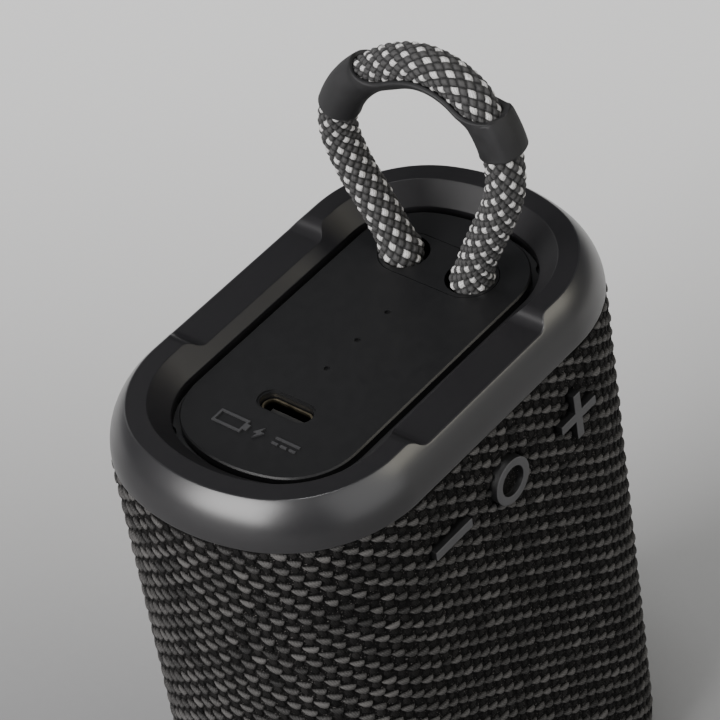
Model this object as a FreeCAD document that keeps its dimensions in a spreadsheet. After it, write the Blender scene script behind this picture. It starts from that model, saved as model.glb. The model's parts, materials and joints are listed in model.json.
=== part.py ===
import FreeCAD, Part
import math
import os

import Sketcher

# A portable speaker in a cloth sleeve, millimetres. +Z is up, the speaker stands on z = 0 and is
# centred on the Z axis. X is its long side, the keys face -Y, the charging socket is at the -X end
# of the top and the carrying loop at the +X end.
#
# Every level outline belongs to one family: the edge of the top plate, grown outwards by an offset.
# The edge has two straight sides, four corner arcs and two flat end arcs, all tangent.

Vector = FreeCAD.Vector
document = FreeCAD.newDocument("shower_speaker")
sheet = document.addObject("Spreadsheet::Sheet", "Sizes")

SIZES = {
    # outline family, as half sizes of the top plate
    "half_width": 15.75, "half_straight": 20.0, "corner_radius": 11.25, "end_radius": 25.2,
    # how far outside the plate's edge each outline lies
    "gap_out": 1.25, "lip_out": 4.4, "flat_out": 7.8, "side_out": 11.25, "cloth_out": 11.2,
    "cloth_in": 9.9, "shell_out": 9.7, "shell_in": 7.2, "spigot_out": 7.0, "spigot_in": 5.0,
    "deck_out": 4.8, "deck_in": 1.5, "ledge_in": 0.5, "foot_out": 6.8, "tray_out": 7.0,
    "gasket_in": -3.0, "rim_arc_out": 0.85, "rim_arc_radius": 10.4,
    # levels
    "rim_top": 112.0, "recess_level": 110.4, "plate_top": 108.8, "plate_under": 107.2,
    "deck_top": 106.8, "deck_under": 104.6, "top_seam": 104.25, "shelf_top": 102.5,
    "shelf_under": 100.5, "base_seam": 8.6, "base_rim_under": 0.85, "foot_top": 2.0,
    "tray_top": 4.2, "base_shelf_under": 10.5, "base_shelf_top": 12.5,
    # finger recesses in the long sides of the rim
    "recess_half": 13.7, "recess_ramp": 3.8,
    # top plate furniture
    "port_x": -17.4, "port_width": 3.7, "port_length": 9.8, "light_pitch": 7.5, "light_radius": 0.5,
    "insert_x": 20.44, "insert_radius": 4.8, "insert_centre": 6.0, "insert_gap": 0.12,
    "rope_radius": 3.0, "rope_hole_radius": 3.35, "rope_hole_front": -6.2, "rope_hole_back": 6.6,
    "rope_relief_radius": 4.0, "rope_relief_depth": 3.0,
    "mark_rise": 0.25, "mark_x": -24.25, "keeper_gap": 0.1, "keeper_wall": 1.05, "lead_radius": 0.7,
    # keys
    "key_level": 92.6, "key_face": 28.0, "key_gap": 0.25, "key_flange_top": 22.6,
    "key_flange_under": 21.8, "key_arm": 8.8, "key_bar": 1.6, "key_plus_x": 17.0,
    "key_minus_x": -14.8, "key_power_x": -0.1, "key_ring_radius": 4.05, "key_disc_radius": 2.6,
    "key_board_front": 17.6, "key_board_back": 16.4, "key_boss": 1.7, "key_pad": 26.1, "key_cloth": 0.9,
    "plunger_face": 3.0, "plunger_sunk": 1.2,
    # drive unit and passive radiator
    "driver_level": 50.0, "driver_seat": 20.45, "driver_radius": 26.0, "grille_radius": 22.8,
    "opening_radius": 23.0, "grille_thick": 0.8, "cone_radius": 19.0,
    "coil_radius": 6.4, "magnet_radius": 15.0, "weight_radius": 17.0,
    # electronics and cells
    "board_under": 96.4, "board_thick": 1.2, "cell_radius": 9.2, "cell_length": 65.0, "cell_x": 28.0,
    "cell_y": 4.0, "cell_under": 14.5,
    # fasteners
    "screw_radius": 1.0, "head_radius": 1.9, "screw_x": 30.3, "screw_y": 14.15,
    "anchor_screw_y": 13.2,
}

# Places that several sub-parts share, as expressions on the sheet's cells.
BOARD_POSTS = [("-27", "9"), ("-27", "-9"), ("9.5", "10")]
SCREW_SPOTS = [("%d * Sizes.screw_x" % a, "%d * Sizes.screw_y" % b) for a in (-1, 1) for b in (-1, 1)]
ROPE_HOLES = ["Sizes.rope_hole_front", "Sizes.rope_hole_back"]
KEYS = [("plus", "Sizes.key_plus_x"), ("power", "Sizes.key_power_x"), ("minus", "Sizes.key_minus_x")]
KEY_SCREWS = ["8.5", "-7.5"]

for row, (alias, number) in enumerate(SIZES.items(), start=1):
    sheet.set("A%d" % row, alias)
    sheet.set("B%d" % row, str(number))
    sheet.setAlias("B%d" % row, alias)
document.recompute()

PARTS = []


def value(expression):
    """Number that an expression on the sheet's cells gives now."""
    result = sheet.evalExpression(str(expression))
    return float(getattr(result, "Value", result))


def keep(thing, label):
    """Name a finished sub-part and put it on the list of files."""
    thing.Label = label
    PARTS.append(thing)
    return thing


def new_body(label):
    return keep(document.addObject("PartDesign::Body", label), label)


def sketch(body, plane, level="0"):
    """Empty sketch on one of the body's own planes, moved along the plane's normal."""
    flat = body.newObject("Sketcher::SketchObject", body.Label + "_sketch")
    support = next(f for f in body.Origin.OriginFeatures if f.Role == plane)
    flat.AttachmentSupport = [(support, "")]
    flat.MapMode = "FlatFace"
    flat.setExpression("AttachmentOffset.Base.z", str(level))
    return flat


def bind(flat, constraint, expression):
    """Add a dimension and tie it to the sheet."""
    number = flat.addConstraint(constraint)
    flat.renameConstraint(number, "size%d" % number)
    flat.setExpression("Constraints.size%d" % number, str(expression))


def add_outline(flat, out):
    """Closed outline of the family, `out` outside the plate's edge."""
    grow = value(out)
    wide, straight = value("half_width") + grow, value("half_straight")
    corner, end = value("corner_radius") + grow, value("end_radius") + grow
    side = value("half_width - corner_radius")
    middle = straight - math.sqrt((end - corner) ** 2 - side ** 2)
    turn = math.atan2(side, straight - middle)
    quarter = math.pi / 2

    def arc(x, y, radius, start, stop):
        circle = Part.Circle(Vector(x, y, 0), Vector(0, 0, 1), radius)
        return Part.ArcOfCircle(circle, start, stop)

    loop = [
        arc(middle, 0, end, -turn, turn),
        arc(straight, side, corner, turn, quarter),
        Part.LineSegment(Vector(straight, wide, 0), Vector(-straight, wide, 0)),
        arc(-straight, side, corner, quarter, 2 * quarter - turn),
        arc(-middle, 0, end, 2 * quarter - turn, 2 * quarter + turn),
        arc(-straight, -side, corner, 2 * quarter + turn, 3 * quarter),
        Part.LineSegment(Vector(-straight, -wide, 0), Vector(straight, -wide, 0)),
        arc(straight, -side, corner, 3 * quarter, 4 * quarter - turn),
    ]
    first = flat.addGeometry(loop, False)[0]
    for step in range(8):
        here, there = first + step, first + (step + 1) % 8
        flat.addConstraint(Sketcher.Constraint("Tangent", here, 2, there, 1))
    for step in (3, 5, 7):
        flat.addConstraint(Sketcher.Constraint("Equal", first + 1, first + step))
    flat.addConstraint(Sketcher.Constraint("Equal", first, first + 4))
    flat.addConstraint(Sketcher.Constraint("Horizontal", first + 2))
    flat.addConstraint(Sketcher.Constraint("Horizontal", first + 6))
    flat.addConstraint(Sketcher.Constraint("PointOnObject", first, 3, -1))
    flat.addConstraint(Sketcher.Constraint("Symmetric", first, 3, first + 4, 3, -1, 1))
    bind(flat, Sketcher.Constraint("Radius", first + 1, corner), "Sizes.corner_radius + %s" % out)
    bind(flat, Sketcher.Constraint("Radius", first, end), "Sizes.end_radius + %s" % out)
    bind(flat, Sketcher.Constraint("DistanceX", -1, 1, first + 1, 3, straight), "Sizes.half_straight")
    bind(flat, Sketcher.Constraint("DistanceY", -1, 1, first + 2, 1, wide), "Sizes.half_width + %s" % out)
    bind(flat, Sketcher.Constraint("DistanceY", first + 6, 1, -1, 1, wide), "Sizes.half_width + %s" % out)


def add_circle(flat, x, y, radius):
    """Circle whose centre and radius follow expressions on the sheet."""
    across, along, size = value(x), value(y), value(radius)
    circle = Part.Circle(Vector(across, along, 0), Vector(0, 0, 1), size)
    one = flat.addGeometry(circle, False)
    bind(flat, Sketcher.Constraint("Radius", one, size), radius)
    bind(flat, Sketcher.Constraint("DistanceX", -1, 1, one, 3, across), x)
    bind(flat, Sketcher.Constraint("DistanceY", -1, 1, one, 3, along), y)


def add_polygon(flat, corners):
    """Closed outline of straight edges; each corner is a pair of expressions."""
    points = [Vector(value(x), value(y), 0) for x, y in corners]
    first = None
    for here, there in zip(points, points[1:] + points[:1]):
        line = flat.addGeometry(Part.LineSegment(here, there), False)
        first = line if first is None else first
    for step, (x, y) in enumerate(corners):
        line, after = first + step, first + (step + 1) % len(corners)
        flat.addConstraint(Sketcher.Constraint("Coincident", line, 2, after, 1))
        bind(flat, Sketcher.Constraint("DistanceX", -1, 1, line, 1, points[step].x), x)
        bind(flat, Sketcher.Constraint("DistanceY", -1, 1, line, 1, points[step].y), y)


def add_rectangle(flat, x, y, length, width):
    """Rectangle centred on (x, y)."""
    left, right = "%s - (%s) / 2" % (x, length), "%s + (%s) / 2" % (x, length)
    low, high = "%s - (%s) / 2" % (y, width), "%s + (%s) / 2" % (y, width)
    add_polygon(flat, [(left, low), (right, low), (right, high), (left, high)])


def add_slot(flat, x, half, radius):
    """Slot along Y centred on (x, 0): arc centres at y = -half and +half."""
    middle, reach, size = value(x), value(half), value(radius)
    up, down = Vector(middle, reach, 0), Vector(middle, -reach, 0)
    axis = Vector(0, 0, 1)
    loop = [
        Part.ArcOfCircle(Part.Circle(up, axis, size), 0, math.pi),
        Part.LineSegment(Vector(middle - size, reach, 0), Vector(middle - size, -reach, 0)),
        Part.ArcOfCircle(Part.Circle(down, axis, size), math.pi, 2 * math.pi),
        Part.LineSegment(Vector(middle + size, -reach, 0), Vector(middle + size, reach, 0)),
    ]
    first = flat.addGeometry(loop, False)[0]
    for step in range(4):
        pair = (first + step, 2, first + (step + 1) % 4, 1)
        flat.addConstraint(Sketcher.Constraint("Tangent", *pair))
    bind(flat, Sketcher.Constraint("Radius", first, size), radius)
    bind(flat, Sketcher.Constraint("DistanceX", -1, 1, first, 3, middle), x)
    bind(flat, Sketcher.Constraint("DistanceY", -1, 1, first, 3, reach), half)
    bind(flat, Sketcher.Constraint("DistanceX", -1, 1, first + 2, 3, middle), x)
    bind(flat, Sketcher.Constraint("DistanceY", -1, 1, first + 2, 3, -reach), "-(%s)" % half)


def pad(body, flat, length, reverse=False):
    """Add the sketch's area, extruded along its normal."""
    feature = body.newObject("PartDesign::Pad", body.Label + "_pad")
    feature.Profile = flat
    feature.Reversed = reverse
    feature.setExpression("Length", str(length))
    return feature


def pocket(body, flat, length, reverse=False):
    """Cut the sketch's area; the cut goes against its normal unless reversed."""
    feature = body.newObject("PartDesign::Pocket", body.Label + "_pocket")
    feature.Profile = flat
    feature.Reversed = reverse
    feature.setExpression("Length", str(length))
    return feature


def level_pad(body, low, high, *outlines):
    """Pad between two levels of a sketch holding the given outlines of the family."""
    flat = sketch(body, "XY_Plane", low)
    for out in outlines:
        add_outline(flat, out)
    return pad(body, flat, "%s - (%s)" % (high, low))


def revolve(label, corners, place=None):
    """Solid of revolution about the local Z axis; each corner is a radius and a height."""
    body = new_body(label)
    flat = sketch(body, "XZ_Plane")
    add_polygon(flat, corners)
    feature = body.newObject("PartDesign::Revolution", label + "_turned")
    feature.Profile = flat
    feature.ReferenceAxis = (flat, ["V_Axis"])
    feature.Angle = 360
    if place:
        body.Placement = place
    return body


def box(label, low, size):
    """Plain block: lowest corner and three lengths, all expressions."""
    block = document.addObject("Part::Box", label)
    for side, length in zip(("Length", "Width", "Height"), size):
        block.setExpression(side, str(length))
    for axis, start in zip("xyz", low):
        block.setExpression("Placement.Base." + axis, str(start))
    return block


def rod(label, x, y, low, radius, height):
    """Upright cylinder."""
    post = document.addObject("Part::Cylinder", label)
    post.setExpression("Radius", str(radius))
    post.setExpression("Height", str(height))
    for axis, start in zip("xyz", (x, y, low)):
        post.setExpression("Placement.Base." + axis, str(start))
    return post


def group(label, pieces):
    """Separate identical solids under one name."""
    bundle = document.addObject("Part::Compound", label)
    bundle.Links = pieces
    return keep(bundle, label)


def shaped(label, shape, place=None):
    """Sub-part whose shape comes from Part's own functions."""
    thing = document.addObject("Part::Feature", label)
    thing.Shape = shape
    if place:
        thing.Placement = place
    return keep(thing, label)


def screw_shape(base, outward, shank, head_radius=None):
    """Screw with its head's under face at `base`; the shank runs against `outward`."""
    wide = head_radius or value("head_radius")
    head = Part.makeCylinder(wide, 0.65 * wide, base, outward)
    thread = Part.makeCylinder(value("screw_radius"), shank, base, outward * -1)
    recess = Part.makeCylinder(0.45 * wide, 0.4 * wide, base + outward * (0.3 * wide), outward)
    return head.fuse(thread).cut(recess)


def tube_path(points):
    """Wire of straight runs joined by tangent arcs, each as large as its two runs allow."""
    edges, radii, start = [], [], points[0]
    for before, corner, after in zip(points, points[1:], points[2:]):
        come, go = (corner - before), (after - corner)
        half_turn = come.getAngle(go) / 2
        radius = 0.45 * min(come.Length, go.Length) / math.tan(half_turn)
        trim = radius * math.tan(half_turn)
        enter = corner - come.normalize() * trim
        leave = corner + go.normalize() * trim
        inward = (enter + leave) * 0.5 - corner
        bulge = radius / math.cos(half_turn) - radius
        top = corner + inward.normalize() * bulge
        edges.append(Part.LineSegment(start, enter).toShape())
        edges.append(Part.Arc(enter, top, leave).toShape())
        radii.append(radius)
        start = leave
    edges.append(Part.LineSegment(start, points[-1]).toShape())
    return edges, radii


def tube(points, radius, name, runs=None):
    """Round tube along the route, or from one of its runs to another.

    The arcs' radii and the volume are printed as a check.
    """
    edges, radii = tube_path(points)
    first, last = runs or (0, len(points) - 2)
    path = Part.Wire(edges[2 * first:2 * last + 1])
    begin, ahead = edges[2 * first].valueAt(edges[2 * first].FirstParameter), points[first + 1] - points[first]
    start = Part.Wire(Part.makeCircle(radius, begin, ahead))
    solid = path.makePipeShell([start], True, False)
    expected = math.pi * radius ** 2 * path.Length
    note = "%s: %.1f mm long, radii %s, volume %.3f of section times length"
    arcs = " ".join("%.1f" % r for r in radii)
    print(note % (name, path.Length, arcs, solid.Volume / expected))
    return solid



# ---------------------------------------------------------------- top

def rim(label, corners, arc_level, bulge_up):
    """Ring swept round the outline: straight edges through `corners`, then one outer arc."""
    body = new_body(label)
    path = sketch(body, "XY_Plane")
    add_outline(path, "0")
    profile = sketch(body, "YZ_Plane")
    spots = [("Sizes.half_width + %s" % out, level) for out, level in corners]
    points = [Vector(value(x), value(y), 0) for x, y in spots]
    last = len(points) - 1
    for step in range(last):
        profile.addGeometry(Part.LineSegment(points[step], points[step + 1]), False)
        bind(profile, Sketcher.Constraint("DistanceX", -1, 1, step, 1, points[step].x), spots[step][0])
        bind(profile, Sketcher.Constraint("DistanceY", -1, 1, step, 1, points[step].y), spots[step][1])
        if step:
            profile.addConstraint(Sketcher.Constraint("Coincident", step - 1, 2, step, 1))
    bind(profile, Sketcher.Constraint("DistanceX", -1, 1, last - 1, 2, points[last].x), spots[last][0])
    bind(profile, Sketcher.Constraint("DistanceY", -1, 1, last - 1, 2, points[last].y), spots[last][1])
    centre = Vector(value("half_width + rim_arc_out"), value(arc_level), 0)
    lean = math.radians(45 if bulge_up else -45)
    crown = centre + Vector(math.cos(lean), math.sin(lean), 0) * value("rim_arc_radius")
    bow = profile.addGeometry(Part.Arc(points[last], crown, points[0]), False)
    arc_last, arc_first = (2, 1) if bulge_up else (1, 2)
    if profile.getPoint(bow, arc_last).distanceToPoint(points[last]) > 0.01:
        arc_last, arc_first = arc_first, arc_last
    profile.addConstraint(Sketcher.Constraint("Coincident", bow, arc_last, last - 1, 2))
    profile.addConstraint(Sketcher.Constraint("Coincident", bow, arc_first, 0, 1))
    bind(profile, Sketcher.Constraint("Radius", bow, value("rim_arc_radius")), "Sizes.rim_arc_radius")
    ring = body.newObject("PartDesign::AdditivePipe", label + "_sweep")
    ring.Profile = profile
    ring.Spine = path
    return body


def finger_recess(body):
    """Lower the rim along both long sides, with an S-shaped ramp at each end."""
    flat = sketch(body, "XZ_Plane")
    half, ramp = value("recess_half"), value("recess_ramp")
    low, high, over = value("recess_level"), value("rim_top"), value("rim_top + 3")
    middle, level = half + ramp / 2, (low + high) / 2
    rise = high - low
    radius = (ramp ** 2 + rise ** 2) / (4 * rise)
    first = None
    for side in (1, -1):
        foot, knee, brow = (Vector(side * x, z, 0) for x, z in
                            ((half, low), (middle, level), (half + ramp, high)))
        below = Vector(foot.x, low + radius, 0)
        above = Vector(brow.x, high - radius, 0)
        turn = math.asin(ramp / 2 / radius) / 2
        dip = below + Vector(side * math.sin(turn), -math.cos(turn), 0) * radius
        hump = above + Vector(-side * math.sin(turn), math.cos(turn), 0) * radius
        one = flat.addGeometry([Part.Arc(foot, dip, knee), Part.Arc(knee, hump, brow),
                                Part.LineSegment(brow, Vector(brow.x, over, 0))], False)
        first = one[0] if first is None else first
    flat.addGeometry(Part.LineSegment(Vector(-half, low, 0), Vector(half, low, 0)), False)
    flat.addGeometry(Part.LineSegment(Vector(half + ramp, over, 0), Vector(-half - ramp, over, 0)), False)
    cut = body.newObject("PartDesign::Pocket", body.Label + "_recess")
    cut.Profile = flat
    cut.Midplane = True
    cut.setExpression("Length", "4 * (Sizes.half_width + Sizes.side_out)")


def top_rim():
    body = rim("top_rim", [
        ("Sizes.flat_out", "Sizes.rim_top"), ("Sizes.lip_out", "Sizes.rim_top - 0.05"),
        ("Sizes.gap_out", "Sizes.plate_top"), ("Sizes.gap_out", "Sizes.deck_top"),
        ("Sizes.spigot_in", "Sizes.deck_top"), ("Sizes.spigot_in", "Sizes.shelf_top"),
        ("Sizes.spigot_out", "Sizes.shelf_top"), ("Sizes.spigot_out", "Sizes.top_seam"),
        ("Sizes.side_out", "Sizes.top_seam")], "Sizes.top_seam", True)
    document.recompute()
    finger_recess(body)


def top_plate():
    body = new_body("top_plate")
    plate = level_pad(body, "Sizes.plate_under", "Sizes.plate_top", "0")
    document.recompute()
    rounding = body.newObject("PartDesign::Chamfer", "plate_edge")
    top = value("plate_top")
    edges = ["Edge%d" % (n + 1) for n, edge in enumerate(plate.Shape.Edges)
             if all(abs(v.Z - top) < 1e-6 for v in edge.Vertexes)]
    rounding.Base = (plate, edges)
    rounding.Size = 0.25
    document.recompute()
    holes = sketch(body, "XY_Plane", "Sizes.plate_top")
    add_slot(holes, "Sizes.port_x", "(Sizes.port_length - Sizes.port_width) / 2", "Sizes.port_width / 2")
    add_slot(holes, "Sizes.insert_x", "Sizes.insert_centre", "Sizes.insert_radius + Sizes.insert_gap")
    for step in (-1, 0, 1):
        add_circle(holes, "%d * Sizes.light_pitch" % step, "0", "Sizes.light_radius")
    pocket(body, holes, "Sizes.plate_top - Sizes.plate_under")
    lip = sketch(body, "XY_Plane", "Sizes.plate_top")
    add_slot(lip, "Sizes.port_x", "(Sizes.port_length - Sizes.port_width) / 2",
             "Sizes.port_width / 2 + 0.35")
    pocket(body, lip, "0.3")


def charge_marks():
    """Raised marks by the socket: a cell outline, a plug dash row and a bolt."""
    low, rise, x = value("plate_top"), value("mark_rise"), value("mark_x")

    def block(across, along, length, width):
        return Part.makeBox(length, width, rise, Vector(x + across - length / 2, along - width / 2, low))

    cell = block(0, 5.2, 2.7, 5.6).cut(block(0, 5.2, 1.9, 4.8)).fuse(block(0, 2.05, 1.2, 0.7))
    line = block(0.55, -5.6, 0.4, 4.6)
    dashes = [block(-0.55, y, 0.4, 1.2) for y in (-7.3, -5.6, -3.9)]
    bolt = [(0.3, 1.35), (-0.85, -0.2), (-0.1, -0.2), (-0.35, -1.35), (0.85, 0.3), (0.1, 0.3)]
    corners = [Vector(x + up, -0.3 - right, low) for right, up in bolt]
    flash = Part.Face(Part.makePolygon(corners + corners[:1])).extrude(Vector(0, 0, rise))
    shaped("charge_marks", Part.makeCompound([cell, flash, line] + dashes))


def top_deck():
    body = new_body("top_deck")
    level_pad(body, "Sizes.deck_under", "Sizes.deck_top", "Sizes.deck_out")
    level_pad(body, "Sizes.shelf_top", "Sizes.deck_under", "Sizes.deck_out", "Sizes.deck_in")
    posts = sketch(body, "XY_Plane", "Sizes.board_under + Sizes.board_thick")
    for x, y in BOARD_POSTS:
        add_circle(posts, x, y, "2.2")
    pad(body, posts, "Sizes.deck_under - Sizes.board_under - Sizes.board_thick")
    holes = sketch(body, "XY_Plane", "Sizes.deck_top")
    add_slot(holes, "Sizes.port_x", "Sizes.port_length / 2 - 1.85", "2.45")
    add_slot(holes, "Sizes.insert_x", "Sizes.insert_centre", "Sizes.insert_radius + Sizes.insert_gap")
    for step in (-1, 0, 1):
        add_circle(holes, "%d * Sizes.light_pitch" % step, "0", "1.15")
    for x, y in SCREW_SPOTS:
        add_circle(holes, x, y, "Sizes.screw_radius + 0.1")
    pocket(body, holes, "Sizes.deck_top - Sizes.shelf_top")
    heads = sketch(body, "XY_Plane", "Sizes.deck_top")
    for x, y in SCREW_SPOTS:
        add_circle(heads, x, y, "Sizes.head_radius + 0.2")
    pocket(body, heads, "1.5")
    pilots = sketch(body, "XY_Plane", "Sizes.board_under")
    for x, y in BOARD_POSTS:
        add_circle(pilots, x, y, "Sizes.screw_radius")
    pocket(body, pilots, "6", reverse=True)


def plate_gasket():
    body = new_body("plate_gasket")
    level_pad(body, "Sizes.deck_top", "Sizes.plate_under", "-0.4", "Sizes.gasket_in")


def strap_insert():
    body = new_body("strap_insert")
    flat = sketch(body, "XY_Plane", "Sizes.deck_under")
    add_slot(flat, "Sizes.insert_x", "Sizes.insert_centre", "Sizes.insert_radius")
    pad(body, flat, "Sizes.plate_top - Sizes.deck_under")
    holes = sketch(body, "XY_Plane", "Sizes.plate_top")
    for y in ROPE_HOLES:
        add_circle(holes, "Sizes.insert_x", y, "Sizes.rope_hole_radius")
    pocket(body, holes, "Sizes.plate_top - Sizes.deck_under")
    relief = sketch(body, "XY_Plane", "Sizes.plate_top")
    for y in ROPE_HOLES:
        add_circle(relief, "Sizes.insert_x", y, "Sizes.rope_relief_radius")
    pocket(body, relief, "Sizes.rope_relief_depth")


# ---------------------------------------------------------------- carrying loop

# Route of the loop, across and above the plate, from the back end to the front end.
LOOP_ROUTE = [(6.6, -8.4), (6.6, -3.6), (7.9, 1.8), (10.8, 8.0), (15.0, 14.8), (17.2, 22.6),
              (14.2, 31.0), (6.4, 37.0), (-3.2, 41.2), (-11.6, 38.8), (-16.6, 30.4), (-16.2, 20.8),
              (-11.8, 11.8), (-8.2, 4.6), (-6.2, -1.6), (-6.2, -8.4)]


# The keeper starts and ends on these runs of the route, counted from its first.
KEEPER_RUNS = (5, 10)


def loop_points(route):
    return [Vector(value("insert_x"), y, value("plate_top") + up) for y, up in route]


def strap_rope():
    shaped("strap_rope", tube(loop_points(LOOP_ROUTE), value("rope_radius"), "strap_rope"))


def strap_keeper():
    """Moulded sleeve round the loop's crown, open on the outside between its two collars."""
    points = loop_points(LOOP_ROUTE)
    inner = tube(points, value("rope_radius + keeper_gap"), "keeper bore", KEEPER_RUNS)
    outer = tube(points, value("rope_radius + keeper_gap + keeper_wall"), "keeper", KEEPER_RUNS)
    x, top = value("insert_x"), value("plate_top")
    window = [(12.0, 48.0), (13.4, 36.0), (10.8, 33.6), (6.4, 35.8), (0.0, 38.4), (-5.0, 39.4),
              (-9.6, 38.2), (-13.2, 35.2), (-16.4, 37.4), (-14.0, 48.0)]
    corners = [Vector(x - 10, y, top + up) for y, up in window]
    opening = Part.Face(Part.makePolygon(corners + corners[:1])).extrude(Vector(20, 0, 0))
    shaped("strap_keeper", outer.cut(inner).cut(opening))


def rope_crimps():
    """Metal sleeves that stop the rope's two tails under the deck."""
    sleeves = []
    for y in ROPE_HOLES:
        outer = rod("crimp_outer", "Sizes.insert_x", y, "Sizes.deck_under - 4.2", "Sizes.rope_hole_radius + 0.7", "3.2")
        inner = rod("crimp_inner", "Sizes.insert_x", y, "Sizes.deck_under - 4.2", "Sizes.rope_radius + 0.02", "3.2")
        sleeve = document.addObject("Part::Cut", "crimp")
        sleeve.Base, sleeve.Tool = outer, inner
        sleeves.append(sleeve)
    group("rope_crimps", sleeves)


def strap_anchor():
    """Steel plate under the deck that the crimps pull against."""
    body = new_body("strap_anchor")
    flat = sketch(body, "XY_Plane", "Sizes.deck_under - 1")
    add_rectangle(flat, "Sizes.insert_x", "0", "9.4", "2 * Sizes.anchor_screw_y + 4")
    for y in ROPE_HOLES:
        add_circle(flat, "Sizes.insert_x", y, "Sizes.rope_hole_radius")
    for side in ("-", ""):
        add_circle(flat, "Sizes.insert_x", side + "Sizes.anchor_screw_y", "Sizes.screw_radius + 0.1")
    pad(body, flat, "1")


# ---------------------------------------------------------------- casing

def chassis():
    body = new_body("chassis")
    level_pad(body, "Sizes.base_seam", "Sizes.top_seam", "Sizes.shell_out", "Sizes.shell_in")
    level_pad(body, "Sizes.shelf_under", "Sizes.shelf_top", "Sizes.shell_in", "Sizes.ledge_in")
    level_pad(body, "Sizes.base_shelf_under", "Sizes.base_shelf_top", "Sizes.shell_in", "Sizes.ledge_in")
    for ahead, face in ((True, "Sizes.half_width + Sizes.shell_in"), (False, "-Sizes.half_width - Sizes.shell_in")):
        seat = sketch(body, "XZ_Plane", face)
        add_circle(seat, "0", "Sizes.driver_level", "Sizes.driver_radius + 0.8")
        add_circle(seat, "0", "Sizes.driver_level", "Sizes.opening_radius")
        pad(body, seat, "2.1", reverse=ahead)
    document.recompute()
    openings = sketch(body, "XZ_Plane")
    add_circle(openings, "0", "Sizes.driver_level", "Sizes.opening_radius")
    through = pocket(body, openings, "4 * Sizes.half_width")
    through.Midplane = True
    windows = sketch(body, "XZ_Plane", "Sizes.half_width + Sizes.shell_out")
    add_circle(windows, "Sizes.key_power_x", "Sizes.key_level", "Sizes.key_ring_radius + Sizes.key_gap")
    add_plus(windows, "Sizes.key_gap")
    add_rectangle(windows, "Sizes.key_minus_x", "Sizes.key_level", "Sizes.key_arm + 2 * Sizes.key_gap",
                  "Sizes.key_bar + 2 * Sizes.key_gap")
    pocket(body, windows, "5", reverse=False)
    bosses = sketch(body, "XZ_Plane", "Sizes.key_board_front")
    for x in KEY_SCREWS:
        add_circle(bosses, x, "Sizes.key_level", "Sizes.key_boss")
        add_circle(bosses, x, "Sizes.key_level", "Sizes.screw_radius * 0.9")
    pad(body, bosses, "Sizes.half_width + Sizes.shell_in - Sizes.key_board_front + 0.1")
    for level in ("Sizes.shelf_top", "Sizes.base_shelf_top"):
        holes = sketch(body, "XY_Plane", level)
        for x, y in SCREW_SPOTS:
            add_circle(holes, x, y, "Sizes.screw_radius * 0.9")
        pocket(body, holes, "2")


def fabric_sleeve():
    body = new_body("fabric_sleeve")
    level_pad(body, "Sizes.base_seam", "Sizes.top_seam", "Sizes.cloth_out", "Sizes.cloth_in")
    windows = sketch(body, "XZ_Plane", "Sizes.half_width + Sizes.cloth_out + 1")
    add_circle(windows, "Sizes.key_power_x", "Sizes.key_level", "Sizes.key_ring_radius + Sizes.key_gap")
    add_plus(windows, "Sizes.key_gap")
    add_rectangle(windows, "Sizes.key_minus_x", "Sizes.key_level", "Sizes.key_arm + 2 * Sizes.key_gap",
                  "Sizes.key_bar + 2 * Sizes.key_gap")
    pocket(body, windows, "6")


def add_plus(flat, gap):
    """Plus-shaped outline of the louder key, grown by `gap`."""
    long, thin = "(Sizes.key_arm / 2 + %s)" % gap, "(Sizes.key_bar / 2 + %s)" % gap
    signs = [(1, -1, long, thin), (1, 1, long, thin), (1, 1, thin, thin), (1, 1, thin, long),
             (-1, 1, thin, long), (-1, 1, thin, thin), (-1, 1, long, thin), (-1, -1, long, thin),
             (-1, -1, thin, thin), (-1, -1, thin, long), (1, -1, thin, long), (1, -1, thin, thin)]
    corners = [("Sizes.key_plus_x + %d * %s" % (right, across), "Sizes.key_level + %d * %s" % (up, high))
               for right, up, across, high in signs]
    add_polygon(flat, corners)


def grille(label, front):
    """Slotted disc that fills the casing's round opening, flush with the casing's outside."""
    body = new_body(label)
    face = "Sizes.half_width + Sizes.shell_out"
    disc = sketch(body, "XZ_Plane", face if front else "-(%s)" % face)
    add_circle(disc, "0", "Sizes.driver_level", "Sizes.grille_radius")
    for step in range(-4, 5):
        reach = math.sqrt(value("grille_radius - 2.4") ** 2 - (4.2 * step) ** 2)
        add_rectangle(disc, "0", "Sizes.driver_level + %.1f" % (4.2 * step), "%.2f" % (2 * reach), "2.4")
    pad(body, disc, "Sizes.grille_thick", reverse=front)


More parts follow.
